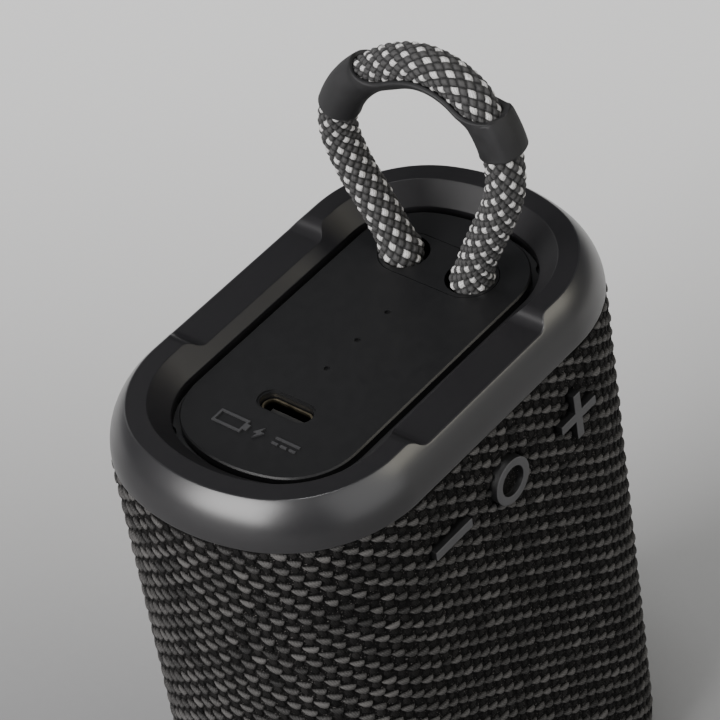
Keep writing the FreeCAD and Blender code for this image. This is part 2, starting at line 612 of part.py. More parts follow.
def base():
    body = rim("base_rim", [
        ("Sizes.side_out", "Sizes.base_seam"), ("Sizes.tray_out + 0.1", "Sizes.base_seam"),
        ("Sizes.tray_out + 0.1", "Sizes.base_rim_under"), ("Sizes.flat_out", "Sizes.base_rim_under")],
        "Sizes.base_seam", False)
    tray = new_body("base_tray")
    level_pad(tray, "Sizes.foot_top", "Sizes.tray_top", "Sizes.tray_out")
    level_pad(tray, "Sizes.tray_top", "Sizes.base_shelf_under", "Sizes.tray_out", "Sizes.spigot_in")
    posts = sketch(tray, "XY_Plane", "Sizes.tray_top")
    for x, y in SCREW_SPOTS:
        add_circle(posts, x, y, "2.6")
    pad(tray, posts, "Sizes.base_shelf_under - Sizes.tray_top")
    holes = sketch(tray, "XY_Plane", "Sizes.foot_top")
    for x, y in SCREW_SPOTS:
        add_circle(holes, x, y, "Sizes.screw_radius + 0.1")
    pocket(tray, holes, "12", reverse=True)
    heads = sketch(tray, "XY_Plane", "Sizes.foot_top")
    for x, y in SCREW_SPOTS:
        add_circle(heads, x, y, "Sizes.head_radius + 0.2")
    pocket(tray, heads, "1.5", reverse=True)
    foot = new_body("rubber_foot")
    level_pad(foot, "0", "Sizes.foot_top", "Sizes.foot_out")
    grooves = sketch(foot, "XY_Plane", "0")
    add_outline(grooves, "2.4")
    add_outline(grooves, "1.4")
    pocket(foot, grooves, "0.6", reverse=True)


# ---------------------------------------------------------------- keys and their board

def key_body(label, outline, x, flange):
    """Rubber key: shaped head through the cloth, flange behind the casing wall, switch nub."""
    body = new_body(label)
    back = sketch(body, "XZ_Plane", "Sizes.key_flange_under")
    if label == "key_power":
        add_circle(back, x, "Sizes.key_level", flange)
    else:
        add_rectangle(back, x, "Sizes.key_level", "11", flange)
    pad(body, back, "Sizes.key_flange_top - Sizes.key_flange_under")
    head = sketch(body, "XZ_Plane", "Sizes.key_flange_top")
    outline(head)
    pad(body, head, "%s - Sizes.key_flange_top" % ("Sizes.key_face" if label != "key_power" else "Sizes.key_pad"))
    nub = sketch(body, "XZ_Plane", "Sizes.key_board_front + Sizes.plunger_face")
    add_circle(nub, x, "Sizes.key_level", "1.2")
    pad(body, nub, "Sizes.key_flange_under - Sizes.key_board_front - Sizes.plunger_face")
    return body


def keys():
    key_body("key_plus", lambda flat: add_plus(flat, "0"), "Sizes.key_plus_x", "11")
    key_body("key_minus", lambda flat: add_rectangle(flat, "Sizes.key_minus_x", "Sizes.key_level",
             "Sizes.key_arm", "Sizes.key_bar"), "Sizes.key_minus_x", "6")
    body = key_body("key_power", lambda flat: add_circle(
        flat, "Sizes.key_power_x", "Sizes.key_level", "Sizes.key_ring_radius"), "Sizes.key_power_x", "5.2")
    ring = sketch(body, "XZ_Plane", "Sizes.key_pad")
    add_circle(ring, "Sizes.key_power_x", "Sizes.key_level", "Sizes.key_ring_radius")
    add_circle(ring, "Sizes.key_power_x", "Sizes.key_level", "Sizes.key_disc_radius")
    pad(body, ring, "Sizes.key_face - Sizes.key_pad")
    cloth = new_body("key_power_cloth")
    disc = sketch(cloth, "XZ_Plane", "Sizes.key_pad")
    add_circle(disc, "Sizes.key_power_x", "Sizes.key_level", "Sizes.key_disc_radius - 0.05")
    pad(cloth, disc, "Sizes.key_cloth")


def key_board():
    board = new_body("key_board")
    flat = sketch(board, "XZ_Plane", "Sizes.key_board_back")
    add_rectangle(flat, "1", "Sizes.key_level", "46", "10")
    for x in KEY_SCREWS:
        add_circle(flat, x, "Sizes.key_level", "Sizes.screw_radius + 0.1")
    pad(board, flat, "Sizes.key_board_front - Sizes.key_board_back")
    housings = []
    for name, x in KEYS:
        case = box("switch_case", ("%s - 2.6" % x, "-Sizes.key_board_front - 2", "Sizes.key_level - 2.6"),
                   ("5.2", "2", "5.2"))
        well = document.addObject("Part::Cylinder", "switch_well")
        well.Radius, well.Height = 1.6, 1.6
        spot = Vector(value(x), -value("key_board_front") - 2.0, value("key_level"))
        well.Placement = FreeCAD.Placement(spot, FreeCAD.Rotation(Vector(1, 0, 0), -90))
        housing = document.addObject("Part::Cut", "switch_housing")
        housing.Base, housing.Tool = case, well
        housings.append(housing)
        plunger = new_body("plunger_" + name)
        face = sketch(plunger, "XZ_Plane", "Sizes.key_board_front + Sizes.plunger_sunk")
        add_circle(face, x, "Sizes.key_level", "1.5")
        pad(plunger, face, "Sizes.plunger_face - Sizes.plunger_sunk")
    group("switch_housings", housings)


# ---------------------------------------------------------------- drive unit and radiator

def facing(front, level):
    """Placement that turns local +Z to the front (-Y) or back (+Y) at the driver's seat."""
    side = -1 if front else 1
    spin = FreeCAD.Rotation(Vector(1, 0, 0), -90 * side)
    return FreeCAD.Placement(Vector(0, side * value("driver_seat"), value(level)), spin)


def driver():
    """Loudspeaker; heights are measured from the flange's front face, positive to the front."""
    front = facing(True, "driver_level")
    flange, coil = "Sizes.driver_radius", "Sizes.coil_radius"
    revolve("driver_gasket", [("23", "0"), (flange, "0"), (flange, "0.4"), ("23", "0.4")], front)
    basket = revolve("driver_basket", [
        ("22.6", "0"), (flange, "0"), (flange, "-1.2"), ("23.4", "-1.2"), ("16", "-8.6"), ("16", "-9.6"),
        ("13.6", "-9.6"), ("13.6", "-12"), ("8.6", "-12"), ("8.6", "-11.2"), ("12.8", "-11.2"),
        ("12.8", "-8.8"), ("15.2", "-8.8"), ("15.2", "-8.4"), ("22.6", "-1.2")])
    document.recompute()
    window = sketch(basket, "XZ_Plane")
    add_polygon(window, [("-5", "-7.4"), ("5", "-7.4"), ("7", "-2.6"), ("-7", "-2.6")])
    cut = pocket(basket, window, "80")
    cut.Midplane = True
    turn = basket.newObject("PartDesign::PolarPattern", "basket_windows")
    turn.Originals = [cut]
    turn.Axis = (next(f for f in basket.Origin.OriginFeatures if f.Role == "Z_Axis"), [""])
    turn.Angle, turn.Occurrences = 180, 2
    basket.Tip = turn
    basket.Placement = front
    revolve("driver_washer", [("7.1", "-12"), ("13.5", "-12"), ("13.5", "-14.5"), ("7.1", "-14.5")], front)
    magnet = "Sizes.magnet_radius"
    revolve("driver_magnet", [("8.6", "-14.5"), (magnet, "-14.5"), (magnet, "-19.5"), ("8.6", "-19.5")], front)
    revolve("driver_yoke", [("0", "-12"), ("6.15", "-12"), ("6.15", "-19.5"), ("14", "-19.5"),
                            ("14", "-21.6"), ("0", "-21.6")], front)
    revolve("voice_coil", [(coil, "-5.6"), ("Sizes.coil_radius + 0.2", "-5.6"),
                           ("Sizes.coil_radius + 0.2", "-11"), ("Sizes.coil_radius + 0.45", "-11"),
                           ("Sizes.coil_radius + 0.45", "-16"), (coil, "-16")], front)
    rimmed = "Sizes.cone_radius"
    revolve("cone", [("Sizes.coil_radius + 0.25", "-6.2"), ("Sizes.coil_radius + 0.25", "-6.8"),
                     ("Sizes.cone_radius - 1", "-0.9"), (rimmed, "-0.5"), (rimmed, "0"),
                     ("Sizes.cone_radius - 1.4", "-0.3")], front)
    revolve("dust_cap", [("0", "-3.6"), ("4.4", "-4.2"), ("7.4", "-5.7"), ("7.7", "-5.35"),
                         ("4.6", "-3.8"), ("0", "-3.2")], front)
    revolve("spider", [("7", "-8.35"), ("12.6", "-8.35"), ("15.1", "-8.35"), ("15.1", "-8"),
                       ("12.6", "-7.7"), ("9.6", "-8"), ("7", "-7.9")], front)
    revolve("surround", [("Sizes.cone_radius - 0.8", "0.05"), (rimmed, "0.05"), ("20", "1.1"), ("21.2", "1.1"),
                         ("22.2", "0.05"), ("22.9", "0.05"), ("22.9", "0.4"), ("22.4", "0.4"),
                         ("21.4", "1.5"), ("19.8", "1.5"), ("18.8", "0.4"),
                         ("Sizes.cone_radius - 0.8", "0.4")], front)
    drive_screws("driver_screws", front)


def drive_screws(label, place):
    """Four screws through the flange's edge into the seat, from the inside."""
    shapes = []
    for step in range(4):
        angle = math.radians(45 + 90 * step)
        spot = Vector(24.5 * math.cos(angle), 24.5 * math.sin(angle), -1.2)
        shapes.append(screw_shape(spot, Vector(0, 0, -1), 3.2, 1.4))
    shaped(label, Part.makeCompound(shapes), place)


def radiator():
    """Passive radiator, seated like the drive unit but facing backwards."""
    back = facing(False, "driver_level")
    edge, weight = "Sizes.driver_radius", "Sizes.weight_radius"
    revolve("radiator_frame", [("22.6", "0.4"), (edge, "0.4"), (edge, "-1.2"), ("22.6", "-1.2")], back)
    revolve("radiator_plate", [("0", "0.6"), (weight, "0.6"), (weight, "-0.8"), ("9", "-0.8"), ("9", "-2.4"),
                               ("0", "-2.4")], back)
    revolve("radiator_surround", [(weight, "0.1"), ("18.4", "1.4"), ("21", "1.4"), ("22.5", "0.1"),
                                  ("22.5", "0.5"), ("21.2", "1.8"), ("18.2", "1.8"), (weight, "0.5")], back)
    drive_screws("radiator_screws", back)


# ---------------------------------------------------------------- electronics and cells

def main_board():
    body = new_body("main_board")
    flat = sketch(body, "XY_Plane", "Sizes.board_under")
    add_rectangle(flat, "-9", "0", "42", "26")
    for x, y in BOARD_POSTS:
        add_circle(flat, x, y, "Sizes.screw_radius + 0.1")
    pad(body, flat, "Sizes.board_thick")
    top = "Sizes.board_under + Sizes.board_thick"
    keep(box("radio_module", ("-8", "4.5", top), ("13", "7", "2.2")), "radio_module")
    keep(box("audio_chip", ("-6", "-10", top), ("6", "6", "0.9")), "audio_chip")
    group("board_coils", [box("coil", (x, "-9.5", top), ("4", "4", "3")) for x in ("2.5", "7.3")])
    group("board_capacitors", [rod("can", x, "9", top, "1.9", "4.6") for x in ("-18", "-13.6")])
    group("led_chips", [box("led", ("%d * Sizes.light_pitch - 0.8" % step, "-0.8", top), ("1.6", "1.6", "0.7"))
                        for step in (-1, 0, 1)])


def light_pipes():
    rods = []
    for step in (-1, 0, 1):
        x = "%d * Sizes.light_pitch" % step
        low = "Sizes.board_under + Sizes.board_thick + 0.8"
        stem = rod("pipe_stem", x, "0", low, "1", "Sizes.plate_under - Sizes.board_under - Sizes.board_thick - 0.8")
        tip = rod("pipe_tip", x, "0", "Sizes.plate_under", "Sizes.light_radius - 0.05", "Sizes.plate_top - Sizes.plate_under - 0.3")
        pipe = document.addObject("Part::Fuse", "pipe")
        pipe.Base, pipe.Tool = stem, tip
        rods.append(pipe)
    group("light_pipes", rods)


def charging_socket():
    """Upright socket: metal shell, tongue with contacts and a rubber seal in the deck."""
    low, high = "Sizes.board_under + Sizes.board_thick", "Sizes.plate_top - 1.3"
    shell = new_body("usb_shell")
    flat = sketch(shell, "XY_Plane", low)
    add_slot(flat, "Sizes.port_x", "3", "1.6")
    pad(shell, flat, "%s - (%s)" % (high, low))
    bore = sketch(shell, "XY_Plane", high)
    add_slot(bore, "Sizes.port_x", "3", "1.3")
    pocket(shell, bore, "6.2")
    keep(box("usb_tongue", ("Sizes.port_x - 0.35", "-3.3", "%s - 6.2" % high), ("0.7", "6.6", "5.2")), "usb_tongue")
    seal = new_body("usb_seal")
    ring = sketch(seal, "XY_Plane", "Sizes.deck_under")
    add_slot(ring, "Sizes.port_x", "3.05", "2.4")
    add_slot(ring, "Sizes.port_x", "3", "1.6")
    pad(seal, ring, "Sizes.deck_top - Sizes.deck_under")


def cells():
    """Two upright cells, one at each end, held by open clips."""
    pair, clips = [], []
    for side in (-1, 1):
        x = "%d * Sizes.cell_x" % side
        can = rod("can", x, "Sizes.cell_y", "Sizes.cell_under", "Sizes.cell_radius", "Sizes.cell_length")
        stud = rod("stud", x, "Sizes.cell_y", "Sizes.cell_under + Sizes.cell_length", "2.8", "1.2")
        cell = document.addObject("Part::Fuse", "cell")
        cell.Base, cell.Tool = can, stud
        pair.append(cell)
        outer = rod("clip_outer", x, "Sizes.cell_y", "Sizes.cell_under - 2", "Sizes.cell_radius + 1.2", "10")
        bore = rod("clip_bore", x, "Sizes.cell_y", "Sizes.cell_under", "Sizes.cell_radius + 0.1", "10")
        clip = document.addObject("Part::Cut", "clip")
        clip.Base, clip.Tool = outer, bore
        clips.append(clip)
    group("battery_cells", pair)
    group("battery_cups", clips)


def leads():
    """Wires from the board to the drive unit and from one cell to the board."""
    driver_route = [(15.5, -13.0, 62.0), (15.5, -8.0, 70.0), (12.0, -8.5, 80.0), (6.0, -12.0, 88.0), (4.0, -11.0, 95.8)]
    cell_route = [(-28.0, 4.0, 81.4), (-27.6, 3.0, 86.6), (-24.4, 1.0, 91.6), (-22.0, -3.0, 95.8)]
    for label, route in (("driver_lead", driver_route), ("battery_lead", cell_route)):
        shaped(label, tube([Vector(*spot) for spot in route], value("lead_radius"), label))


def screws():
    """The casing's, boards' and anchor's screws, each set under one name."""
    up, down = Vector(0, 0, 1), Vector(0, 0, -1)
    corners = [(value(x), value(y)) for x, y in SCREW_SPOTS]
    deck, foot = value("deck_top") - 1.5, value("foot_top") + 1.5
    shaped("deck_screws", Part.makeCompound([screw_shape(Vector(x, y, deck), up, 5.4) for x, y in corners]))
    shaped("base_screws", Part.makeCompound([screw_shape(Vector(x, y, foot), down, 9) for x, y in corners]))
    posts = [(value(x), value(y)) for x, y in BOARD_POSTS]
    under = value("board_under")
    shaped("board_screws", Part.makeCompound([screw_shape(Vector(x, y, under), down, 5) for x, y in posts]))
    anchor = value("deck_under") - 1
    x, y = value("insert_x"), value("anchor_screw_y")
    shaped("anchor_screws", Part.makeCompound([screw_shape(Vector(x, side * y, anchor), down, 2.4, 1.5)
                                               for side in (-1, 1)]))
    level, back = value("key_level"), -value("key_board_back")
    shaped("key_board_screws", Part.makeCompound([screw_shape(Vector(value(x), back, level), Vector(0, 1, 0), 5)
                                                  for x in KEY_SCREWS]))


for make in (top_rim, top_plate, charge_marks, top_deck, plate_gasket, strap_insert, strap_rope, strap_keeper,
             rope_crimps, strap_anchor, chassis, fabric_sleeve, base, keys, key_board, driver, radiator,
             main_board, light_pipes, charging_socket, cells, leads, screws):
    make()
grille("front_grille", True)
grille("rear_grille", False)
document.recompute()

for thing in document.Objects:
    if "Invalid" in thing.State or "Error" in thing.State:
        raise RuntimeError("%s is %s" % (thing.Label, thing.State))
os.makedirs("parts", exist_ok=True)
for part in PARTS:
    if part.Shape.isNull() or not part.Shape.isValid() or not part.Shape.Solids:
        raise RuntimeError("%s has no valid shape" % part.Label)
    part.Shape.exportStep("parts/%s.step" % part.Label)
    size = part.Shape.optimalBoundingBox()
    print("%-18s %d solids, %9.1f mm3, %5.1f x %5.1f x %5.1f" % (
        part.Label, len(part.Shape.Solids), part.Shape.Volume, size.XLength, size.YLength, size.ZLength))
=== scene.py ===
"""Looks of a hand-sized shower speaker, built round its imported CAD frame.

Lengths are in millimetres until a mesh is made.
"""

import json
import logging
import math
from dataclasses import dataclass, field
from enum import Enum
from typing import Any, Mapping, Optional, Sequence, Union

import bmesh
import bpy
import numpy as np
from mathutils import Matrix, Vector


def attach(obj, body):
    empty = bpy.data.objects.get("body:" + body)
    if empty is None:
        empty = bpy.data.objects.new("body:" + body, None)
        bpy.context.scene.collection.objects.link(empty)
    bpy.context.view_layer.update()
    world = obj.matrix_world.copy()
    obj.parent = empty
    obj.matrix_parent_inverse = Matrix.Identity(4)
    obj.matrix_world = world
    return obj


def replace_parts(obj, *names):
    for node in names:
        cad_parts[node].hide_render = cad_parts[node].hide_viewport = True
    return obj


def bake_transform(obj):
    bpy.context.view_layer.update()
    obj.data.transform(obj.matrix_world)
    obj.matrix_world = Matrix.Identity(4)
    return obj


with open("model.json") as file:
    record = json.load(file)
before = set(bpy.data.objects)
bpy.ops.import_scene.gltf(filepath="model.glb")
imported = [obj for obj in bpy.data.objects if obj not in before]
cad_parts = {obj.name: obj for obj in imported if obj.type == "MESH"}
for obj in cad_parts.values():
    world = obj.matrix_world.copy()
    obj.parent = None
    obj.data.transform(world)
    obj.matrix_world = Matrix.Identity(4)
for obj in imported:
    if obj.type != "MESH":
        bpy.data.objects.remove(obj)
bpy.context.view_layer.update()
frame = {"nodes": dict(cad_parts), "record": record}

LOG = logging.getLogger("speaker")
MM = 0.001
SEED = 20
Colour = tuple[float, float, float]
Number = Union["Wire", float]
# Nearly black colour of the painted shade on moulded finishes.
PAINTED_SHADE_BLACK: Colour = (0.0025, 0.0025, 0.0028)
COAT_IOR = 1.65
WELD_REACH = 1e-6


# ---------------------------------------------------------------- shader expressions


class Wire:
    """One output socket. Arithmetic on it adds Math nodes to its desk's tree."""

    def __init__(self, desk: "Desk", socket: bpy.types.NodeSocket) -> None:
        """Keep the socket and the desk that it belongs to."""
        self.desk = desk
        self.socket = socket

    def _math(self, operation: str, *terms: Number) -> "Wire":
        """Add one Math node.

        Args:
            operation: the Math node's operation.
            terms: its inputs in order.

        Returns:
            The node's result.
        """
        return self.desk.node("Math", {"operation": operation}, dict(enumerate(terms)))

    def __add__(self, other: Number) -> "Wire":
        """Sum."""
        return self._math("ADD", self, other)

    __radd__ = __add__

    def __sub__(self, other: Number) -> "Wire":
        """Difference."""
        return self._math("SUBTRACT", self, other)

    def __rsub__(self, other: Number) -> "Wire":
        """Difference with this wire on the right."""
        return self._math("SUBTRACT", other, self)

    def __mul__(self, other: Number) -> "Wire":
        """Product."""
        return self._math("MULTIPLY", self, other)

    __rmul__ = __mul__

    def __truediv__(self, other: Number) -> "Wire":
        """Quotient."""
        return self._math("DIVIDE", self, other)

    def __rtruediv__(self, other: Number) -> "Wire":
        """Quotient with this wire below the line."""
        return self._math("DIVIDE", other, self)

    def sine(self) -> "Wire":
        """Sine of an angle in radians."""
        return self._math("SINE", self)

    def ramp(self, low: float, high: float, start: float = 0.0, end: float = 1.0) -> "Wire":
        """Smooth step from `start` below `low` to `end` above `high`."""
        return self.desk.node("MapRange", {"interpolation_type": "SMOOTHSTEP"},
                              {0: self, 1: low, 2: high, 3: start, 4: end})


class Desk:
    """One material's node tree, with one Principled shader at its end."""

    def __init__(self, name: str) -> None:
        """Make the material and empty its tree."""
        self.material = bpy.data.materials.new(name)
        self.material.use_nodes = True
        self.tree = self.material.node_tree
        self.tree.nodes.clear()

    def node(self, kind: str, settings: Mapping[str, Any], values: Mapping[Any, Any], out: Any = 0) -> Wire:
        """Add any node.

        Args:
            kind: the type's name without its ShaderNode prefix.
            settings: attributes, set first.
            values: numbers, colours or wires for input sockets, by index or name.
            out: index or name of the output that is wanted.

        Returns:
            That output.
        """
        made = self.tree.nodes.new("ShaderNode" + kind)
        for key, setting in settings.items():
            setattr(made, key, setting)
        for key, given in values.items():
            if isinstance(given, Wire):
                self.tree.links.new(given.socket, made.inputs[key])
            else:
                made.inputs[key].default_value = given
        return Wire(self, made.outputs[out])

    def place(self, stretch: tuple[float, float, float] = (1, 1, 1), turn: float = 0.0) -> Wire:
        """Object coordinates, stretched and turned about Z."""
        spot = self.node("TexCoord", {}, {}, "Object")
        return self.node("Mapping", {}, {"Vector": spot, "Scale": stretch, "Rotation": (0, 0, turn)})

    def noise(self, where: Wire, size_mm: float, detail: float = 3.0, roughness: float = 0.55) -> Wire:
        """Noise between 0 and 1 with spots of about `size_mm`."""
        return self.node("TexNoise", {}, {"Vector": where, "Scale": 1 / (size_mm * MM), "Detail": detail,
                                          "Roughness": roughness})

    def cells(self, where: Wire, size_mm: float) -> Wire:
        """Distance to the nearest of scattered spots, about `size_mm` apart."""
        return self.node("TexVoronoi", {}, {"Vector": where, "Scale": 1 / (size_mm * MM)})

    def height(self, axis: int) -> Wire:
        """One of the object coordinates, in metres."""
        return self.node("SeparateXYZ", {}, {0: self.place()}, axis)

    def stored(self, name: str) -> Wire:
        """A number that the piece's mesh carries at its vertices."""
        return self.node("Attribute", {"attribute_name": name}, {}, "Fac")

    def mix(self, share: Number, first: Any, second: Any) -> Wire:
        """Mix two colours.

        Args:
            share: 0 for the first colour, 1 for the second.
            first: colour or wire.
            second: colour or wire.

        Returns:
            The mixed colour.
        """
        def rgba(tint: Any) -> Any:
            """A colour with its alpha, or the wire itself."""
            return tint if isinstance(tint, Wire) else (*tint, 1)

        return self.node("Mix", {"data_type": "RGBA"}, {0: share, 6: rgba(first), 7: rgba(second)}, 2)

    def bump(self, height: Number, depth_mm: float) -> Wire:
        """Normal bent by a height between 0 and 1 that stands for `depth_mm`."""
        return self.node("Bump", {}, {"Height": height, "Distance": depth_mm * MM, "Strength": 1.0})

    def finish(self, **sockets: Any) -> bpy.types.Material:
        """Add the Principled shader.

        Args:
            sockets: its sockets by name, spaces as underscores.

        Returns:
            The finished material.
        """
        values = {key.replace("_", " "): given for key, given in sockets.items()}
        shader = self.node("BsdfPrincipled", {}, values)
        end = self.tree.nodes.new("ShaderNodeOutputMaterial")
        self.tree.links.new(shader.socket, end.inputs["Surface"])
        return self.material


# ---------------------------------------------------------------- finishes


@dataclass(frozen=True)
class Moulded:
    """Moulded, cast or rolled surface: two colours in soft mottles, gloss that varies, and a fine grain.

    The coat, `coat` strong, is left out where the mesh carries "matt". The last field, when given, is an axis
    and two places along it, in millimetres, between which painted shade fades the finish from nearly black to
    its own colour.
    """

    name: str
    colour: Colour
    mottle: Colour
    roughness: float
    gloss_swing: float = 0.08
    metallic: float = 0.0
    grain_mm: float = 0.22
    grain_depth: float = 0.006
    mottle_mm: float = 5.0
    stretch: tuple[float, float, float] = (1.0, 1.0, 1.0)
    coat: float = 0.0
    coat_roughness: float = 0.2
    specular: float = 0.5
    painted_shade: Optional[tuple[int, float, float]] = None

    def make(self) -> bpy.types.Material:
        """Build the material.

        Returns:
            It, finished.
        """
        desk = Desk(self.name)
        where = desk.place(self.stretch)
        cloud = desk.noise(where, self.mottle_mm).ramp(0.35, 0.65)
        grain = desk.noise(where, self.grain_mm, 4.0, 0.6)
        colour = desk.mix(cloud * 0.7 + grain * 0.3, self.colour, self.mottle)
        gloss = (cloud - 0.5) * self.gloss_swing + (grain - 0.5) * self.gloss_swing + self.roughness
        if self.painted_shade:
            axis, start, end = self.painted_shade
            # Painted shade: nearly black at the first place along the axis, the finish's own colour past the
            # second.
            colour = desk.mix(desk.height(axis).ramp(start * MM, end * MM), PAINTED_SHADE_BLACK, colour)
        return desk.finish(Base_Color=colour, Roughness=gloss, Metallic=self.metallic,
                           Normal=desk.bump(grain, self.grain_depth),
                           Coat_Weight=self.coat - desk.stored("matt") * self.coat if self.coat else 0.0,
                           Coat_Roughness=self.coat_roughness, Coat_IOR=COAT_IOR,
                           Specular_IOR_Level=self.specular)


@dataclass(frozen=True)
class CircuitBoard:
    """Solder mask over copper tracks, with bare pads."""

    name: str
    mask: Colour = (0.012, 0.09, 0.035)
    track: Colour = (0.03, 0.17, 0.06)
    pad: Colour = (0.75, 0.6, 0.3)

    def make(self) -> bpy.types.Material:
        """Build the material.

        Returns:
            It, finished.
        """
        desk = Desk(self.name)
        where = desk.place()
        bent = desk.noise(where, 7.0, 1.0) * 9.0
        lanes = desk.node("TexWave", {"bands_direction": "DIAGONAL"},
                          {"Vector": where, "Scale": 260.0, "Distortion": bent}, 1).ramp(0.55, 0.62)
        spots = desk.cells(where, 2.6).ramp(0.14, 0.18, 1.0, 0.0)
        colour = desk.mix(spots, desk.mix(lanes, self.mask, self.track), self.pad)
        return desk.finish(Base_Color=colour, Roughness=0.42 - spots * 0.12, Metallic=spots,
                           Normal=desk.bump(lanes, 0.03))


@dataclass(frozen=True)
class ClothGround:
    """Black yarns deep in the weave, with scattered glossy filament specks painted pale as glints."""

    name: str
    low: Colour = (0.002, 0.002, 0.002)
    high: Colour = (0.009, 0.0085, 0.0082)
    # Pale colour of the specks: painted glints.
    painted_glint: Colour = (0.16, 0.15, 0.145)

    def make(self) -> bpy.types.Material:
        """Build the material.

        Returns:
            It, finished.
        """
        desk = Desk(self.name)
        where = desk.place()
        tufts = desk.noise(where, 0.4, 4.0, 0.7)
        # Specks where the roughness drops for real gloss and the colour turns pale as painted glints.
        gloss_and_painted_glint = desk.noise(where, 0.22, 2.0, 0.5).ramp(0.64, 0.7)
        colour = desk.mix(gloss_and_painted_glint, desk.mix(tufts.ramp(0.35, 0.7), self.low, self.high), self.painted_glint)
        return desk.finish(Base_Color=colour, Roughness=0.85 - gloss_and_painted_glint * 0.35,
                           Normal=desk.bump(tufts, 0.3), Specular_IOR_Level=0.12)


@dataclass(frozen=True)
class Yarn:
    """Spun yarn of a float: filaments along its UV, with each float's own shade."""

    name: str
    dark: Colour
    light: Colour
    filaments: float = 5.0
    roughness: float = 0.62
    depth: float = 0.05
    specular: float = 0.3

    def make(self) -> bpy.types.Material:
        """Build the material.

        Returns:
            It, finished.
        """
        desk = Desk(self.name)
        own = desk.node("UVMap", {"uv_map": "yarn"}, {})
        across = desk.node("SeparateXYZ", {}, {0: own}, 1)
        along = desk.node("SeparateXYZ", {}, {0: own}, 0)
        fuzz = desk.noise(desk.place(), 0.3, 4.0, 0.7)
        lines = ((along * self.filaments + across * 1.2 + fuzz * 1.1) * (2 * math.pi)).sine() * 0.5 + 0.5
        worn = desk.stored("shade")
        share = (worn * 0.6 + lines * 0.16 + fuzz * 0.9 - 0.42).ramp(0.0, 0.9)
        return desk.finish(Base_Color=desk.mix(share, self.dark, self.light),
                           Roughness=self.roughness + fuzz * 0.15 - lines * 0.05,
                           Normal=desk.bump(lines * 0.6 + fuzz, self.depth), Specular_IOR_Level=self.specular)


@dataclass(frozen=True)
class Braid:
    """Dark braided yarns with pale flecks.

    The rope's vertices carry where the flecks are, how far each place lifts from the gaps, and the twist.
    Towards the gaps the colour falls to near black, painted shade between the strands.
    """

    name: str
    # Near black, painted into the gaps between the strands as shade.
    dark: Colour = (0.002, 0.002, 0.0022)
    body: Colour = (0.056, 0.055, 0.055)
    fleck: Colour = (0.72, 0.71, 0.7)

    def make(self) -> bpy.types.Material:
        """Build the material.

        Returns:
            It, finished.
        """
        desk = Desk(self.name)
        fuzz = desk.noise(desk.place(), 0.14, 3.0, 0.7)
        lift = desk.stored("lift")
        # Painted shade: the yarn colour falls to near black towards the gaps between strands.
        gap_shaded_body = desk.mix((lift * 0.8 + fuzz * 0.8 - 0.5).ramp(0.0, 0.9), self.dark, self.body)
        lines = (desk.stored("twist") * (2 * math.pi)).sine() * 0.5 + 0.5
        frayed = fuzz.ramp(0.3, 0.6) * 0.5 + lines * 0.3 + 0.2
        # The pale flecks fade out towards the gaps too, part of the same painted shade.
        pale = desk.stored("fleck").ramp(0.4, 0.6) * frayed * lift.ramp(0.1, 0.6)
        return desk.finish(Base_Color=desk.mix(pale, gap_shaded_body, self.fleck),
                           Roughness=0.62 + fuzz * 0.2 - pale * 0.1,
                           Normal=desk.bump(lines * 0.5 + fuzz, 0.05), Specular_IOR_Level=0.45,
                           Sheen_Weight=0.1, Sheen_Roughness=0.4)


class Slot(Enum):
    """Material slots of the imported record, with the finish each one takes."""

    RIM = Moulded("rim_plastic", (0.01, 0.0096, 0.0108), (0.0115, 0.011, 0.012), 0.42, 0.012,
                  grain_depth=0.002, grain_mm=0.12, mottle_mm=1.2, coat=0.72, coat_roughness=0.3,
                  specular=0.33)
    PLATE = Moulded("plate_plastic", (0.006, 0.006, 0.0065), (0.0075, 0.0075, 0.008), 0.42, 0.02,
                    grain_mm=0.1, grain_depth=0.003, mottle_mm=1.5, specular=0.45)
    INNER = Moulded("inner_plastic", (0.02, 0.02, 0.021), (0.035, 0.035, 0.036), 0.6)
    CLOTH = ClothGround("cloth")
    ROPE = Braid("rope")
    RUBBER = Moulded("rubber", (0.01, 0.01, 0.0106), (0.018, 0.0178, 0.0188), 0.62, 0.08, grain_mm=0.2,
                     grain_depth=0.035, specular=0.4)
    STEEL = Moulded("steel", (0.5, 0.5, 0.51), (0.62, 0.62, 0.62), 0.33, 0.12, 1.0, 0.3, 0.003, 4.0)
    # The socket metal fades to near black lower down in the port: painted shade in its depth.
    SOCKET = Moulded("socket_metal", (0.34, 0.29, 0.2), (0.46, 0.4, 0.28), 0.38, 0.1, 1.0, 0.2, 0.002, 2.0,
                     painted_shade=(2, 106.6, 107.9))
    MAGNET = Moulded("magnet", (0.16, 0.16, 0.17), (0.24, 0.24, 0.25), 0.42, 0.15, 0.9, 0.5, 0.01)
    COPPER = Moulded("copper", (0.72, 0.3, 0.14), (0.82, 0.42, 0.22), 0.35, 0.1, 1.0, 0.3, 0.02,
                     stretch=(1.0, 6.0, 1.0))
    PAPER = Moulded("paper", (0.07, 0.068, 0.065), (0.12, 0.115, 0.11), 0.85, 0.05, grain_mm=0.6,
                    grain_depth=0.05)
    BOARD = CircuitBoard("board")
    CHIP = Moulded("chip", (0.02, 0.02, 0.021), (0.04, 0.04, 0.04), 0.5, 0.05, grain_mm=0.1)
    CAN = Moulded("can", (0.62, 0.62, 0.6), (0.72, 0.72, 0.7), 0.28, 0.1, 1.0, 0.4, 0.004,
                  stretch=(1.0, 5.0, 1.0))
    CELL = Moulded("cell_wrap", (0.03, 0.14, 0.3), (0.04, 0.18, 0.36), 0.35, 0.08, coat=0.3)
    LENS = Moulded("lens", (0.003, 0.003, 0.003), (0.006, 0.006, 0.006), 0.4, 0.05, grain_mm=0.3,
                   grain_depth=0.002)
    WIRE = Moulded("wire", (0.35, 0.02, 0.02), (0.45, 0.04, 0.03), 0.4)


